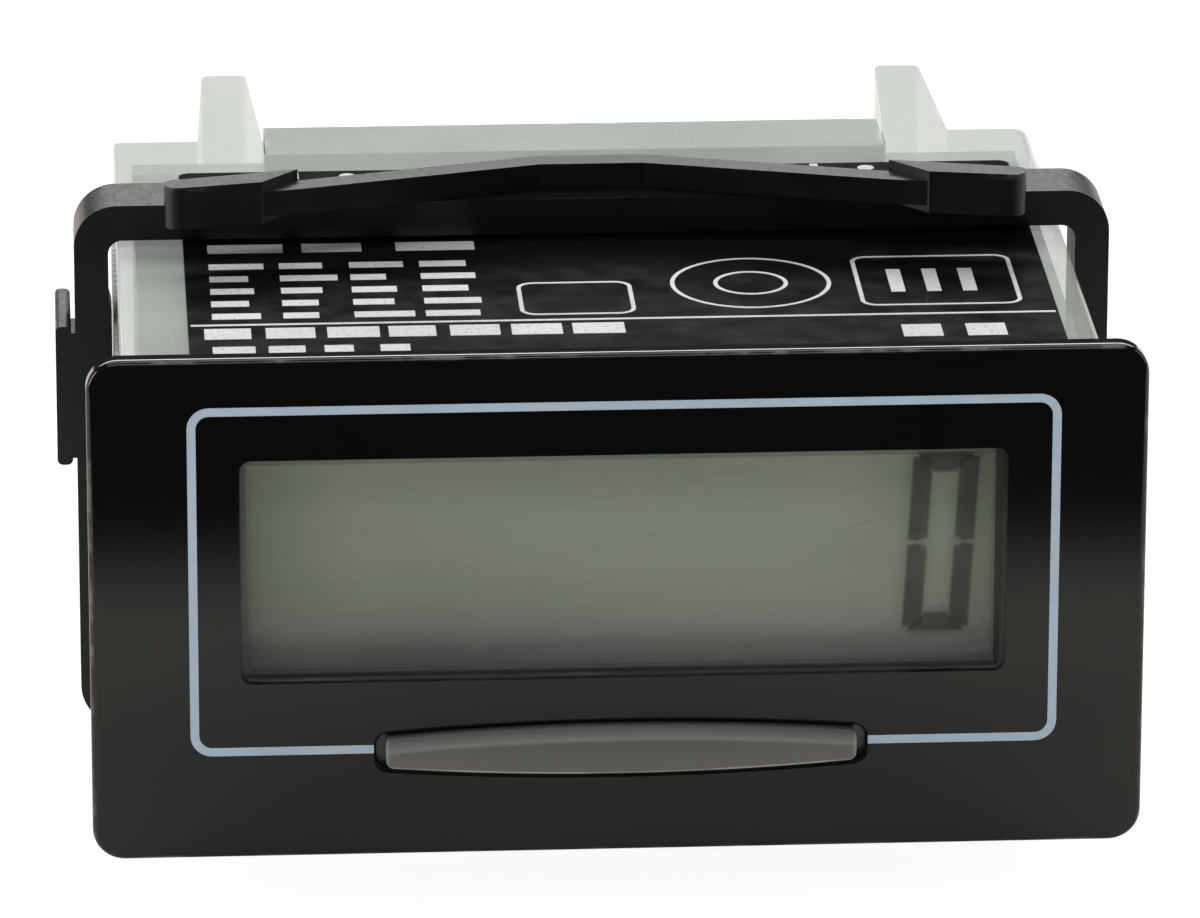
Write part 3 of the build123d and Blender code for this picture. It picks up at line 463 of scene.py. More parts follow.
# Reset button: a satin grey moulding with a bevel and a ridge along its lens-shaped cap. Its colour holds
# painted light: the bevel painted darker towards the top, the lower part painted lighter towards the foot, a
# painted highlight along the ridge and painted glints along its foot and ends. A coil of thin spring wire
# behind it pushes it back out.
button_low, button_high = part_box("reset_button")
CAP_CENTRE, CAP_HALF, CAP_END, BEVEL = (button_low + button_high) / 2, 1.68 * mm, 16.1 * mm, 0.9 * mm
CAP_RISE = 0.68 * mm / CAP_END ** 2
button_grey, tree, shader = blank_finish("reset_button_grey")
fine = use_group(tree, GRAIN, Grain=1500, Drift=80)
across, _, up = axes(tree, vectors(tree, "SUBTRACT", place(tree), CAP_CENTRE))
bow = sums(tree, "MULTIPLY", sums(tree, "POWER", sums(tree, "ABSOLUTE", across), 2.0), CAP_RISE)
under_top = sums(tree, "SUBTRACT", sums(tree, "SUBTRACT", CAP_HALF, bow), up)
over_foot = sums(tree, "SUBTRACT", up, sums(tree, "SUBTRACT", bow, CAP_HALF))
# Painted highlight along the ridge, and painted glints along the foot and at both ends.
ridge_highlight = ramp(tree, sums(tree, "ABSOLUTE", sums(tree, "SUBTRACT", under_top, BEVEL)), 0.26 * mm, 0.02 * mm)
foot_glint = ramp(tree, over_foot, 0.16 * mm, 0.05 * mm)
end_glint = ramp(tree, sums(tree, "ABSOLUTE", across), CAP_END - 0.35 * mm, CAP_END)
pale_glint = sums(tree, "MULTIPLY", sums(tree, "MAXIMUM", foot_glint, end_glint),
              ramp(tree, fine["Shade"], 0.3, 0.6, 0.4, 0.9))
# Painted shade: lighter towards the foot, and the bevel darker towards the top.
face_lit_towards_foot = blend_colours(tree, ramp(tree, over_foot, 2.2 * mm, 0.3 * mm), tone(96, 95, 91), tone(108, 105, 98))
bevel_shaded_towards_top = blend_colours(tree, ramp(tree, under_top, 0.0, 0.8 * mm), tone(88, 89, 89), tone(122, 122, 120))
colour = blend_colours(tree, ramp(tree, under_top, BEVEL - 0.06 * mm, BEVEL + 0.06 * mm), bevel_shaded_towards_top, face_lit_towards_foot)
colour = blend_colours(tree, sums(tree, "MULTIPLY", ridge_highlight, 0.5), colour, tone(140, 139, 134))
colour = blend_colours(tree, pale_glint, colour, tone(176, 173, 166))
feed(tree, shader, Base_Color=colour, Roughness=ramp(tree, fine["Height"], 0.3, 0.7, 0.3, 0.36))
feed(tree, shader, Normal=bumps(tree, fine["Height"], 0.5, 0.001 * mm))
coat(button_grey, "reset_button")
coat(metal("spring_wire", tone(150, 150, 152), tone(190, 190, 192), 0.22, stretch=(1.0, 0.2, 1.0)),
     "button_spring")

# Circuit boards: glass-epoxy laminate under green solder resist, with etched tracks that show
# through it, and rows of tiny chip parts soldered on by machine.
TRACK_PITCH = 1.27 * mm


def resist(name, flat_axes):
    """Green solder resist with straight tracks and round pads under it, on the two flat axes."""
    material, tree, shader = blank_finish(name, Coat_Weight=0.25, Coat_Roughness=0.2)
    axis = axes(tree)
    first, second = axis[flat_axes[0]], axis[flat_axes[1]]
    bend = node(tree, "ShaderNodeTexVoronoi", {"Vector": place(tree), "Scale": 110.0},
                distance="CHEBYCHEV")
    lane = sums(tree, "FRACT", sums(tree, "ADD", sums(tree, "MULTIPLY", first, 1 / TRACK_PITCH),
                                    sums(tree, "ROUND", bend.outputs["Distance"])))
    cross_lane = sums(tree, "FRACT", sums(tree, "MULTIPLY", second, 1 / TRACK_PITCH))
    turn = sums(tree, "GREATER_THAN", node(tree, "ShaderNodeSeparateColor",
                                           {0: bend.outputs["Color"]}).outputs[0], 0.5)
    track = sums(tree, "COMPARE", choose(tree, turn, lane, cross_lane), 0.5, 0.17)
    pads = node(tree, "ShaderNodeTexVoronoi", {"Vector": place(tree), "Scale": 240.0}, feature="F1")
    pad = sums(tree, "LESS_THAN", pads.outputs["Distance"], 0.16)
    fine = use_group(tree, GRAIN, Grain=1800, Drift=70)
    green = blend_colours(tree, fine["Shade"], tone(16, 74, 44), tone(22, 88, 52))
    green = blend_colours(tree, sums(tree, "MULTIPLY", track, 0.6), green, tone(52, 128, 70))
    colour = blend_colours(tree, pad, green, tone(196, 190, 176))
    relief = sums(tree, "ADD", sums(tree, "MULTIPLY", track, 0.7),
                  sums(tree, "MULTIPLY", fine["Height"], 0.3))
    feed(tree, shader, Base_Color=colour, Roughness=ramp(tree, fine["Height"], 0.3, 0.7, 0.28, 0.42))
    feed(tree, shader, Normal=bumps(tree, relief, 0.5, 0.03 * mm))
    return material


coat(resist("main_board_resist", (0, 1)), "main_board")
coat(resist("display_board_resist", (0, 2)), "display_board")


def growing_tree(name, inputs):
    """A geometry node tree with named inputs; returns the tree and its input and output nodes."""
    tree = bpy.data.node_groups.new(name, "GeometryNodeTree")
    tree.is_modifier = True
    tree.interface.new_socket("Geometry", in_out="INPUT", socket_type="NodeSocketGeometry")
    for label, kind, value in inputs:
        socket = tree.interface.new_socket(label, in_out="INPUT", socket_type=kind)
        if value is not None:
            socket.default_value = value
    tree.interface.new_socket("Geometry", in_out="OUTPUT", socket_type="NodeSocketGeometry")
    return tree, tree.nodes.new("NodeGroupInput"), tree.nodes.new("NodeGroupOutput")


def realised(tree, geometry, material):
    """Close a branch of a tree: real geometry with its material."""
    real = node(tree, "GeometryNodeRealizeInstances", {0: geometry}).outputs[0]
    return node(tree, "GeometryNodeSetMaterial", {"Geometry": real, "Material": material}).outputs[0]


def laid_out(tree, points, instance, **sockets):
    """Put a copy of a shape on every point."""
    return node(tree, "GeometryNodeInstanceOnPoints",
                {"Points": points, "Instance": instance, **sockets}).outputs[0]


def spaced_line(tree, count, start, step):
    """A number of points, one step apart."""
    return node(tree, "GeometryNodeMeshLine", {"Count": count, "Start Location": start, "Offset": step},
                mode="OFFSET").outputs[0]


def grown(name, tree, slot, body="housing", **values):
    """Run a tree with its own values and keep the result as a plain piece on a body."""
    holder = bpy.data.objects.new(name + "_start", bpy.data.meshes.new(name + "_start"))
    scene.collection.objects.link(holder)
    growth = holder.modifiers.new("growth", "NODES")
    growth.node_group = tree
    for item in tree.interface.items_tree:
        label = item.name.replace(" ", "_")
        if item.in_out == "INPUT" and label in values:
            growth[item.identifier] = values[label]
    result = holder.evaluated_get(bpy.context.evaluated_depsgraph_get())
    mesh = bpy.data.meshes.new_from_object(result)
    holder.modifiers.clear()
    bpy.data.objects.remove(holder)
    mesh.name = name
    piece = bpy.data.objects.new(name, mesh)
    scene.collection.objects.link(piece)
    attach(piece, body)


chip_row, given, out = growing_tree("Row of chip parts", [
    ("Count", "NodeSocketInt", 6), ("First", "NodeSocketVector", (0.0, 0.0, 0.0)),
    ("Step", "NodeSocketVector", (0.003, 0.0, 0.0)), ("Size", "NodeSocketVector", (0.002, 0.0012, 0.0006)),
    ("Cap", "NodeSocketFloat", 0.22), ("Body", "NodeSocketMaterial", None),
    ("Metal", "NodeSocketMaterial", None)])
line = spaced_line(chip_row, given.outputs["Count"], given.outputs["First"], given.outputs["Step"])
block = node(chip_row, "GeometryNodeMeshCube", {"Size": given.outputs["Size"]})
branches = [realised(chip_row, laid_out(chip_row, line, block.outputs[0]), given.outputs["Body"])]
CAP_OVERSIZE, CAP_SHIFT = 1.04, 0.41
for end in (-1, 1):
    scale = node(chip_row, "ShaderNodeCombineXYZ",
                 {0: given.outputs["Cap"], 1: CAP_OVERSIZE, 2: CAP_OVERSIZE}).outputs[0]
    size = vectors(chip_row, "MULTIPLY", given.outputs["Size"], scale)
    cap = node(chip_row, "GeometryNodeMeshCube", {"Size": size})
    shift = vectors(chip_row, "MULTIPLY", given.outputs["Size"], (end * CAP_SHIFT, 0.0, 0.0))
    moved = node(chip_row, "GeometryNodeTransform", {"Geometry": cap.outputs[0], "Translation": shift})
    branches.append(realised(chip_row, laid_out(chip_row, line, moved.outputs[0]), given.outputs["Metal"]))
join = node(chip_row, "GeometryNodeJoinGeometry")
for branch in branches:
    chip_row.links.new(branch, join.inputs[0])
chip_row.links.new(join.outputs[0], out.inputs[0])

tin = metal("tinned_metal", tone(184, 184, 186), tone(214, 214, 216), 0.24)
resistor_black = moulding("resistor_glaze", tone(24, 25, 28), tone(36, 38, 42), 0.35, grain=5000)
ceramic_tan = moulding("capacitor_ceramic", tone(150, 118, 84), tone(172, 138, 100), 0.4, grain=5000)
board_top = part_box("main_board")[1].z
display_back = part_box("display_board")[1].y
rows = (("resistor_row_front", resistor_black, (-2.0, 18.0, 0.3), (3.1, 0, 0), 4, (2.0, 1.25, 0.6)),
        ("resistor_row_right", resistor_black, (24.2, 22.5, 0.3), (0, 2.4, 0), 6, (2.0, 1.25, 0.6)),
        ("capacitor_row_chip", ceramic_tan, (6.0, 21.5, 0.45), (0, 2.6, 0), 2, (2.0, 1.25, 0.9)),
        ("capacitor_row_rear", ceramic_tan, (-26.0, 24.0, 0.45), (0, 3.0, 0), 4, (2.0, 1.25, 0.9)))
CAP_SHARE = 0.2
for name, body_finish, first, step, count, size in rows:
    grown(name, chip_row, slot="chip_epoxy", Count=count, Step=tuple(v * mm for v in step),
          First=(first[0] * mm, first[1] * mm, board_top + first[2] * mm), Cap=CAP_SHARE,
          Size=tuple(v * mm for v in size), Body=body_finish, Metal=tin)
for name, body_finish, start_x, start_z, count in (("display_row_left", resistor_black, -24.0, 3.0, 6),
                                                   ("display_row_right", ceramic_tan, 13.5, 3.0, 4)):
    grown(name, chip_row, slot="chip_epoxy", Count=count, Step=(3.0 * mm, 0.0, 0.0),
          Cap=CAP_SHARE, Metal=tin, Body=body_finish,
          First=(start_x * mm, display_back + 0.35 * mm, start_z * mm), Size=(2.0 * mm, 0.7 * mm, 1.25 * mm))

solder_row, given, out = growing_tree("Row of solder fillets", [
    ("Count", "NodeSocketInt", 10), ("First", "NodeSocketVector", (0.0, 0.0, 0.0)),
    ("Step", "NodeSocketVector", (0.00254, 0.0, 0.0)), ("Foot", "NodeSocketFloat", 0.0008),
    ("Rise", "NodeSocketFloat", 0.0008), ("Solder", "NodeSocketMaterial", None)])
line = spaced_line(solder_row, given.outputs["Count"], given.outputs["First"], given.outputs["Step"])
fillet = node(solder_row, "GeometryNodeMeshCone", {
    "Vertices": 14, "Radius Top": 0.3 * mm, "Radius Bottom": given.outputs["Foot"],
    "Depth": given.outputs["Rise"]})
mounds = laid_out(solder_row, line, fillet.outputs["Mesh"])
solder_row.links.new(realised(solder_row, mounds, given.outputs["Solder"]), out.inputs[0])
solder = metal("bright_solder", tone(190, 190, 192), tone(222, 222, 224), 0.16, grain=900, relief=0.01)
pin_low, pin_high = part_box("link_pins")
PINS, PIN_WIDE = 10, 0.64 * mm
pin_pitch = (pin_high.x - pin_low.x - PIN_WIDE) / (PINS - 1)
grown("link_solder", solder_row, slot="tinned_lead", Count=PINS, Step=(pin_pitch, 0.0, 0.0), Foot=0.75 * mm,
      Rise=0.7 * mm, Solder=solder,
      First=(pin_low.x + PIN_WIDE / 2, pin_high.y - PIN_WIDE / 2, board_top))

# Board parts: pin header, moulded chips, a drawn-steel crystal can, two sleeved capacitors, a
# film capacitor and a sleeved lithium cell with welded nickel tabs.
coat(moulding("header_nylon_black", tone(20, 20, 20), tone(30, 30, 29), 0.5, grain=3500), "link_body")
gold = metal("gold_flash", tone(198, 156, 78), tone(226, 184, 104), 0.24)
coat(gold, "link_pins", "reset_contacts")


def chip_finish(name, node_name, up):
    """Matt black epoxy with fine speckle and a polished round dimple that marks pin one."""
    low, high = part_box(node_name)
    material, tree, shader = blank_finish(name)
    fine = use_group(tree, GRAIN, Grain=6000, Drift=240)
    corner = low + Vector((1.4 * mm, 1.4 * mm, 1.4 * mm))
    corner[up] = high[up]
    reach = node(tree, "ShaderNodeVectorMath", {0: place(tree), 1: corner},
                 operation="DISTANCE").outputs["Value"]
    dimple = ramp(tree, reach, 0.6 * mm, 0.5 * mm)
    epoxy = blend_colours(tree, fine["Shade"], tone(26, 26, 27), tone(36, 36, 37))
    feed(tree, shader, Base_Color=blend_colours(tree, dimple, epoxy, tone(52, 52, 53)),
         Roughness=ramp(tree, dimple, 0.0, 1.0, 0.62, 0.25))
    height = sums(tree, "SUBTRACT", sums(tree, "MULTIPLY", fine["Height"], 0.3), dimple)
    feed(tree, shader, Normal=bumps(tree, height, 0.7, 0.05 * mm))
    return material


coat(chip_finish("counter_chip_epoxy", "counter_chip", 2), "counter_chip")
coat(chip_finish("driver_chip_epoxy", "driver_chip", 1), "driver_chip")
coat(tin, "chip_leads")
coat(metal("drawn_can", tone(176, 176, 178), tone(210, 210, 212), 0.2, stretch=(0.15, 1.0, 1.0)),
     "crystal_can")


def sleeve(name, node_name, along, colour_a, colour_b, stripe, cap):
    """A shrunk sleeve round a can: a pale stripe along one side and bare metal at its ends."""
    low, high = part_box(node_name)
    centre, half = (low + high) / 2, (high - low) / 2
    material, tree, shader = blank_finish(name)
    here = axes(tree, vectors(tree, "SUBTRACT", place(tree), centre))
    others = [i for i in range(3) if i != along]
    radial = sums(tree, "SQRT", sums(tree, "ADD", sums(tree, "MULTIPLY", here[others[0]], here[others[0]]),
                                     sums(tree, "MULTIPLY", here[others[1]], here[others[1]])))
    at_end = ramp(tree, sums(tree, "ABSOLUTE", here[along]), half[along] - 0.75 * mm, half[along] - 0.7 * mm)
    radius = min(half[i] for i in others)
    inside = ramp(tree, radial, radius * 0.84, radius * 0.8)
    bare = sums(tree, "MULTIPLY", at_end, inside)
    side = sums(tree, "GREATER_THAN", here[others[0]], half[others[0]] * 0.82)
    fine = use_group(tree, GRAIN, Grain=1500, Drift=90)
    cloth = blend_colours(tree, side, blend_colours(tree, fine["Shade"], colour_a, colour_b), stripe)
    feed(tree, shader, Base_Color=blend_colours(tree, bare, cloth, cap), Metallic=bare)
    feed(tree, shader, Roughness=ramp(tree, fine["Height"], 0.3, 0.7, 0.22, 0.34))
    feed(tree, shader, Normal=bumps(tree, fine["Height"], 0.3, 0.02 * mm))
    return material


bare_can = tone(196, 196, 198)
for name in ("large_capacitor", "small_capacitor"):
    coat(sleeve(name + "_sleeve", name, 2, tone(22, 30, 62), tone(28, 38, 76), tone(170, 176, 190),
                bare_can), name)
coat(sleeve("cell_sleeve_green", "lithium_cell", 0, tone(36, 96, 66), tone(44, 112, 78), tone(196, 204, 190),
            bare_can), "lithium_cell")
coat(moulding("film_capacitor_epoxy", tone(132, 44, 30), tone(150, 54, 38), 0.28, grain=1800, relief=0.008,
              wear_and_highlight=tone(176, 96, 78), box=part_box("film_capacitor"), edge=0.0004), "film_capacitor")
nickel = metal("nickel_plate", tone(176, 172, 160), tone(206, 202, 190), 0.26, stretch=(1.0, 1.0, 0.2))
coat(nickel, "cell_tabs")

# Terminals: a pale moulded block with six bays, tin-plated brass strips, nickel clamp plates and
# zinc-plated M3 screws. Each bay has its number moulded on the roof's rear edge.
block_low, block_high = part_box("terminal_block")
coat(moulding("terminal_block_grey_green", tone(106, 115, 107), tone(119, 127, 119), 0.42, grain=2400,
              relief=0.012, drift=70, wear_and_highlight=tone(160, 167, 159), box=(block_low, block_high), edge=0.0004),
     "terminal_block")
coat(metal("tinned_brass", tone(186, 170, 130), tone(206, 190, 148), 0.28, stretch=(1.0, 1.0, 0.15)),
     "contact_strips")
for cell in range(1, 7):
    coat(nickel, "clamp_plate_%d" % cell)
    coat(zinc, "terminal_screw_%d" % cell)

thread, given, out = growing_tree("Rolled screw thread", [
    ("Radius", "NodeSocketFloat", 0.00142), ("Lead", "NodeSocketFloat", 0.0005),
    ("Turns", "NodeSocketFloat", 9.0), ("Crest", "NodeSocketFloat", 0.0001),
    ("Start", "NodeSocketVector", (0.0, 0.0, 0.0)), ("Metal", "NodeSocketMaterial", None)])
helix = node(thread, "GeometryNodeCurveSpiral", {
    "Resolution": 20, "Rotations": given.outputs["Turns"], "Start Radius": given.outputs["Radius"],
    "End Radius": given.outputs["Radius"],
    "Height": sums(thread, "MULTIPLY", given.outputs["Lead"], given.outputs["Turns"])})
turned = node(thread, "GeometryNodeTransform", {
    "Geometry": helix.outputs[0], "Translation": given.outputs["Start"],
    "Rotation": (math.radians(-90), 0.0, 0.0)})
profile = node(thread, "GeometryNodeCurvePrimitiveCircle",
               {"Resolution": 5, "Radius": given.outputs["Crest"]})
crest = node(thread, "GeometryNodeCurveToMesh", {
    "Curve": turned.outputs[0], "Profile Curve": profile.outputs[0], "Fill Caps": True})
thread.links.new(realised(thread, crest.outputs[0], given.outputs["Metal"]), out.inputs[0])
for cell in range(1, 7):
    low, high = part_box("terminal_screw_%d" % cell)
    centre = (low + high) / 2
    grown("screw_thread_%d" % cell, thread, body="screw_%d" % cell, slot="zinc_steel", Metal=zinc, Turns=9.0,
          Start=(centre.x, low.y + 0.15 * mm, centre.z), Radius=1.41 * mm, Crest=0.1 * mm, Lead=0.5 * mm)

raised = moulding("raised_number", tone(206, 214, 206), tone(216, 222, 216), 0.4, grain=2400)
for cell in range(1, 7):
    low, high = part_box("terminal_screw_%d" % cell)
    words = bpy.data.curves.new("bay_number_%d" % cell, "FONT")
    words.body, words.size, words.extrude = str(cell), 1.6 * mm, 0.06 * mm
    words.align_x, words.align_y, words.resolution_u = "CENTER", "CENTER", 3
    stamp = bpy.data.objects.new("bay_number_start", words)
    scene.collection.objects.link(stamp)
    mesh = bpy.data.meshes.new_from_object(stamp.evaluated_get(bpy.context.evaluated_depsgraph_get()))
    bpy.data.objects.remove(stamp)
    facing_rear = Matrix.Rotation(math.pi, 4, "Z") @ Matrix.Rotation(math.radians(90), 4, "X")
    spot = Vector(((low.x + high.x) / 2, block_high.y + 0.05 * mm, block_high.z - 0.9 * mm))
    mesh.transform(Matrix.Translation(spot) @ facing_rear)
    mesh.materials.clear()
    shape = bmesh.new()
    shape.from_mesh(mesh)
    finished("bay_number_%d" % cell, shape, raised)

# Case: clear polycarbonate, faintly milky in its thickness. Cut edges and corners, and the case behind the
# label, are painted whiter and denser: painted light, where the light collects in them; the sides carry flow
# marks from the mould.
case_low, case_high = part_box("case")
CASE_HALF_WIDTH, CASE_REAR = 33.5 * mm, 53.2 * mm
case_body = (Vector((-CASE_HALF_WIDTH, case_low.y, case_low.z)),
             Vector((CASE_HALF_WIDTH, CASE_REAR, case_high.z)))
milky, tree, shader = blank_finish("milky_polycarbonate", Roughness=0.14)
fine = use_group(tree, GRAIN, Grain=350, Drift=55, Stretch=(1.0, 0.25, 1.0))
half = (case_body[1] - case_body[0]) / 2
away = vectors(tree, "ABSOLUTE", vectors(tree, "SUBTRACT", place(tree), (case_body[0] + case_body[1]) / 2))
gap = axes(tree, vectors(tree, "SUBTRACT", half, away))
corner = ramp(tree, sums(tree, "MAXIMUM", gap[0], gap[2]), 1.5 * mm, 0.3 * mm)
LABEL_REAR = 45.3 * mm
behind_label_light = ramp(tree, axes(tree)[1], LABEL_REAR - 0.5 * mm, LABEL_REAR + 0.5 * mm)
# Painted light: a whiter, denser case at its corners and behind the label.
painted_light_mask = sums(tree, "MAXIMUM", corner, behind_label_light)
alpha = sums(tree, "ADD", ramp(tree, fine["Shade"], 0.0, 1.0, 0.4, 0.5),
             sums(tree, "MULTIPLY", painted_light_mask, 0.06))
thin = blend_colours(tree, fine["Shade"], tone(162, 171, 163), tone(180, 187, 180))
colour = blend_colours(tree, painted_light_mask, thin, tone(192, 198, 191))
feed(tree, shader, Base_Color=colour, Alpha=alpha, Normal=bumps(tree, fine["Height"], 0.25, 0.06 * mm))
coat(milky, "case")

# Label: black gloss film stuck on the case's top, with pale print. The words and signs are left
# out; plain bars and simple outlines stand where print stood.
LABEL_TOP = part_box("top_label")[1].z
coat(moulding("black_label_film", tone(8, 8, 8), tone(13, 13, 13), 0.13, grain=500, relief=0.01, drift=50,
              specks=0.009, speck_size=0.00009), "top_label")
print_white = moulding("pale_print", tone(170, 172, 174), tone(188, 190, 192), 0.3, grain=2600, relief=0.004)
PRINT_TOP = LABEL_TOP + INK_DEPTH

print_block, given, out = growing_tree("Printed bars", [
    ("Bars", "NodeSocketInt", 4), ("Lines", "NodeSocketInt", 1),
    ("Corner", "NodeSocketVector", (0.0, 0.0, 0.0)), ("Pitch", "NodeSocketFloat", 0.004),
    ("Leading", "NodeSocketFloat", 0.003), ("Height", "NodeSocketFloat", 0.0012),
    ("Shortest", "NodeSocketFloat", 0.5), ("Longest", "NodeSocketFloat", 0.85),
    ("Depth", "NodeSocketFloat", 0.00002), ("Seed", "NodeSocketInt", 1), ("Ink", "NodeSocketMaterial", None)])
step = node(print_block, "ShaderNodeCombineXYZ", {0: given.outputs["Pitch"]}).outputs[0]
drop = node(print_block, "ShaderNodeCombineXYZ", {1: given.outputs["Leading"]}).outputs[0]
column = spaced_line(print_block, given.outputs["Lines"], given.outputs["Corner"], drop)
one_line = spaced_line(print_block, given.outputs["Bars"], (0.0, 0.0, 0.0), step)
spots = node(print_block, "GeometryNodeRealizeInstances", {0: laid_out(print_block, column, one_line)})
bar = node(print_block, "GeometryNodeMeshCube", {"Size": (1.0, 1.0, 1.0)})
bar = node(print_block, "GeometryNodeTransform", {"Geometry": bar.outputs[0], "Translation": (0.5, 0.0, 0.0)})
share = node(print_block, "FunctionNodeRandomValue", {
    2: given.outputs["Shortest"], 3: given.outputs["Longest"], "Seed": given.outputs["Seed"]},
    data_type="FLOAT")
size = node(print_block, "ShaderNodeCombineXYZ", {
    0: sums(print_block, "MULTIPLY", share.outputs[1], given.outputs["Pitch"]), 1: given.outputs["Height"],
    2: given.outputs["Depth"]}).outputs[0]
bars = laid_out(print_block, spots.outputs[0], bar.outputs[0], Scale=size)
print_block.links.new(realised(print_block, bars, given.outputs["Ink"]), out.inputs[0])

prints = (("title_bars", -27.2, 27.2, 3, 1, 6.6, 3.0, 1.9, 0.6, 0.88, 4),
          ("text_bars", -27.2, 12.2, 4, 5, 4.9, 2.75, 1.25, 0.5, 0.86, 9),
          ("address_bars", -27.8, 8.4, 7, 1, 4.2, 3.0, 2.3, 0.72, 0.9, 2),
          ("origin_bars", -27.3, 4.9, 4, 1, 3.8, 3.0, 1.5, 0.5, 0.86, 7),
          ("twin_bars", 19.9, 6.7, 2, 1, 4.4, 3.0, 2.6, 0.62, 0.62, 1))
for name, x, y, count, line_count, pitch, leading, height, shortest, longest, seed in prints:
    grown(name, print_block, slot="label_film", Bars=count, Lines=line_count,
          Corner=(x * mm, y * mm, PRINT_TOP - INK_DEPTH / 2), Pitch=pitch * mm, Leading=leading * mm,
          Height=height * mm, Shortest=shortest, Longest=longest, Depth=INK_DEPTH, Seed=seed, Ink=print_white)


def circle_path(x, y, radius, steps=48):
    """Points round a circle on the label."""
    return [(x + radius * math.cos(math.tau * i / steps), y + radius * math.sin(math.tau * i / steps))
            for i in range(steps)]


def printed_bar(x_low, x_high, y_low, y_high):
    """Add a plain printed bar to the label's marks, in millimetres."""
    corners = ((x_low, y_low), (x_high, y_low), (x_high, y_high), (x_low, y_high))
    thin_solid(marks, [(x * mm, y * mm) for x, y in corners], LABEL_TOP, PRINT_TOP, axis=2)


marks = bmesh.new()
stroke = 0.3 * mm
printed_bar(-28.7, 30.8, 10.15, 10.5)
for x, y, radius in ((10.3, 17.7, 5.6), (10.3, 17.7, 2.6)):
    band_solid(marks, circle_path(x * mm, y * mm, radius * mm - stroke),
               circle_path(x * mm, y * mm, radius * mm), LABEL_TOP, PRINT_TOP, axis=2)
for left, right, low, high in ((-6.0, 2.0, 11.4, 18.6), (17.6, 28.8, 12.2, 23.2)):
    sizes = (left * mm, right * mm, low * mm, high * mm, 1.2 * mm)
    band_solid(marks, rounded_path(*sizes, grow=-stroke)[1:-1], rounded_path(*sizes)[1:-1],
               LABEL_TOP, PRINT_TOP, axis=2)
for x in (20.4, 22.9, 25.4):
    printed_bar(x - 0.5, x + 0.5, 15.2, 20.2)
for x in (-20.6, -13.1, 16.9, 24.4):
    printed_bar(x - 0.3, x + 0.3, 43.3, 45.0)
for x in (-16.8, 20.6):
    thin_solid(marks, circle_path(x * mm, 43.9 * mm, 0.6 * mm, 20), LABEL_TOP, PRINT_TOP, axis=2)
finished("label_marks", marks, print_white)

# Clip: a one-piece black nylon moulding. Its bow springs brace it against the panel and its pawls catch the
# case's ratchet. Its sharp edges carry a pale, broken-up painted highlight on the satin skin.
# The pale edge tone is a painted highlight along the sharp edges.
coat(moulding("clip_nylon_black", tone(9, 9, 9), tone(14, 14, 13), 0.34, grain=2200, relief=0.006, drift=90,
              wear_and_highlight=tone(96, 96, 92), box=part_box("mounting_clip"), edge=0.0005, specks=0.007,
              speck_size=0.00011), "mounting_clip")

# Floor, lights and camera: a pale studio sheet, a strong soft light behind, and weaker ones
# overhead, at both sides and in front.
FLOOR_Z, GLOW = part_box("mounting_clip")[0].z - 0.05 * mm, 1.08
floor_mesh = bpy.data.meshes.new("studio_floor")
sheet = bmesh.new()
bmesh.ops.create_grid(sheet, x_segments=1, y_segments=1, size=4.0)
bmesh.ops.translate(sheet, verts=sheet.verts, vec=(0, 0, FLOOR_Z))
sheet.to_mesh(floor_mesh)
sheet.free()
floor = bpy.data.objects.new("studio_floor", floor_mesh)
scene.collection.objects.link(floor)
pale, tree, shader = blank_finish("pale_studio_sheet", Roughness=0.9, Specular_IOR_Level=0.1)
soft = use_group(tree, GRAIN, Grain=300, Drift=3)
seen = node(tree, "ShaderNodeLightPath").outputs
depth = axes(tree)[1]
# Painted reflection: in glossy rays the sheet darkens further in front and turns warm, so the glossy parts
# mirror a darker, warmer floor.
reflected_fade = ramp(tree, depth, -84 * mm, -58 * mm, 0.03, 1.0)
shade = choose(tree, seen["Is Glossy Ray"], 1.0, reflected_fade)
sheet_tone = blend_colours(tree, soft["Shade"], (0.86, 0.86, 0.86, 1), (0.88, 0.88, 0.88, 1))
base = blend_colours(tree, shade, (0.0, 0.0, 0.0, 1), sheet_tone)
mirrored = blend_colours(tree, shade, (0.0, 0.0, 0.0, 1), (0.74, 0.68, 0.62, 1))
base = blend_colours(tree, seen["Is Glossy Ray"], base, mirrored)
base = blend_colours(tree, seen["Is Camera Ray"], base, (0.16, 0.16, 0.16, 1))
feed(tree, shader, Base_Color=base, Emission_Color=sheet_tone,
     Emission_Strength=sums(tree, "MULTIPLY", seen["Is Camera Ray"], GLOW))
floor_mesh.materials.append(pale)


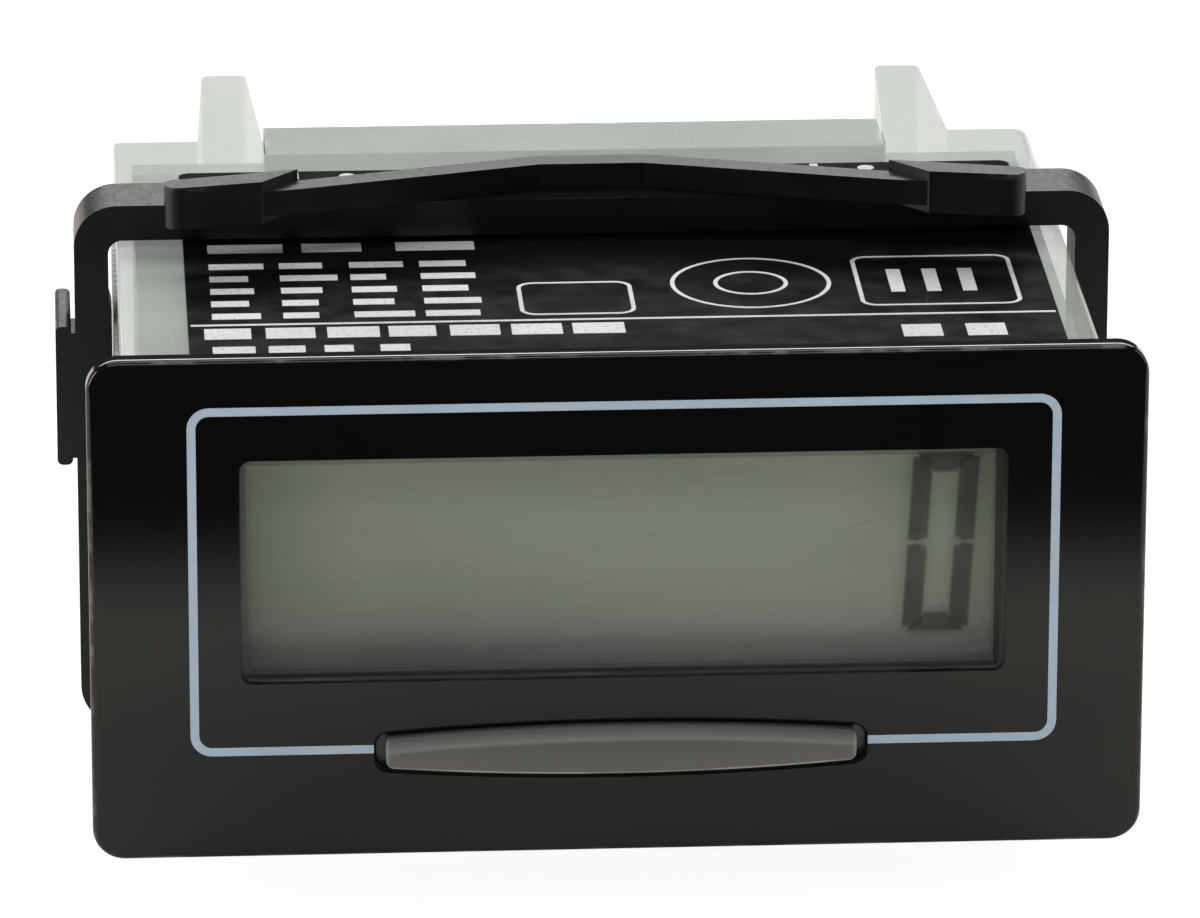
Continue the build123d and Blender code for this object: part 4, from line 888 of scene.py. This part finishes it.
def softbox(name, spot, aim, width, height, power, colour=(1.0, 1.0, 1.0)):
    """A rectangular soft light at a spot, turned to face an aim point."""
    lamp = bpy.data.lights.new(name, "AREA")
    lamp.shape, lamp.size, lamp.size_y, lamp.energy, lamp.color = "RECTANGLE", width, height, power, colour
    box = bpy.data.objects.new(name, lamp)
    box.location = spot
    box.rotation_euler = (Vector(aim) - Vector(spot)).to_track_quat("-Z", "Y").to_euler()
    scene.collection.objects.link(box)


softbox("rear_softbox", (0.0, 0.9, 0.7), (0, 0.02, 0), 1.5, 0.42, 17.0)
softbox("overhead_softbox", (0.0, 0.05, 0.75), (0, 0.02, 0), 0.8, 0.5, 2.6)
softbox("left_softbox", (-0.75, -0.12, 0.2), (0, 0.02, 0), 0.3, 0.5, 2.4)
softbox("right_softbox", (0.75, 0.05, 0.3), (0, 0.02, 0), 0.3, 0.5, 0.8)
softbox("front_softbox", (0.0, -0.75, 0.75), (0, 0, 0), 0.8, 0.3, 1.6)

DIFFUSE_LEVEL, BACKDROP_LEVEL, MIRROR_LEVEL = 0.16, 0.9, 0.06
world = bpy.data.worlds.new("studio_surround")
world.use_nodes = True
tree = world.node_tree
tree.nodes.clear()
seen = node(tree, "ShaderNodeLightPath").outputs
level = choose(tree, seen["Is Camera Ray"], DIFFUSE_LEVEL, BACKDROP_LEVEL)
level = choose(tree, seen["Is Glossy Ray"], level, MIRROR_LEVEL)
surround = node(tree, "ShaderNodeBackground", {"Color": (1.0, 1.0, 1.0, 1.0), "Strength": level})
node(tree, "ShaderNodeOutputWorld", {0: surround.outputs[0]})
scene.world = world

ROLL = math.radians(0.12)
camera = bpy.data.cameras.new("camera")
camera.sensor_width, camera.lens = 36.0, 282.5
camera.clip_start, camera.clip_end = 0.05, 20.0
viewer = bpy.data.objects.new("camera", camera)
aim = Vector((-1.23, 0.0, 10.0)) * mm
viewer.location = Vector((-38.03, -602.064, 220.07)) * mm
look = (aim - viewer.location).to_track_quat("-Z", "Y").to_matrix().to_4x4()
viewer.matrix_world = Matrix.Translation(viewer.location) @ look @ Matrix.Rotation(ROLL, 4, "Z")
scene.collection.objects.link(viewer)
scene.camera = viewer
scene.view_settings.view_transform = "Standard"
scene.cycles.transparent_max_bounces = 32
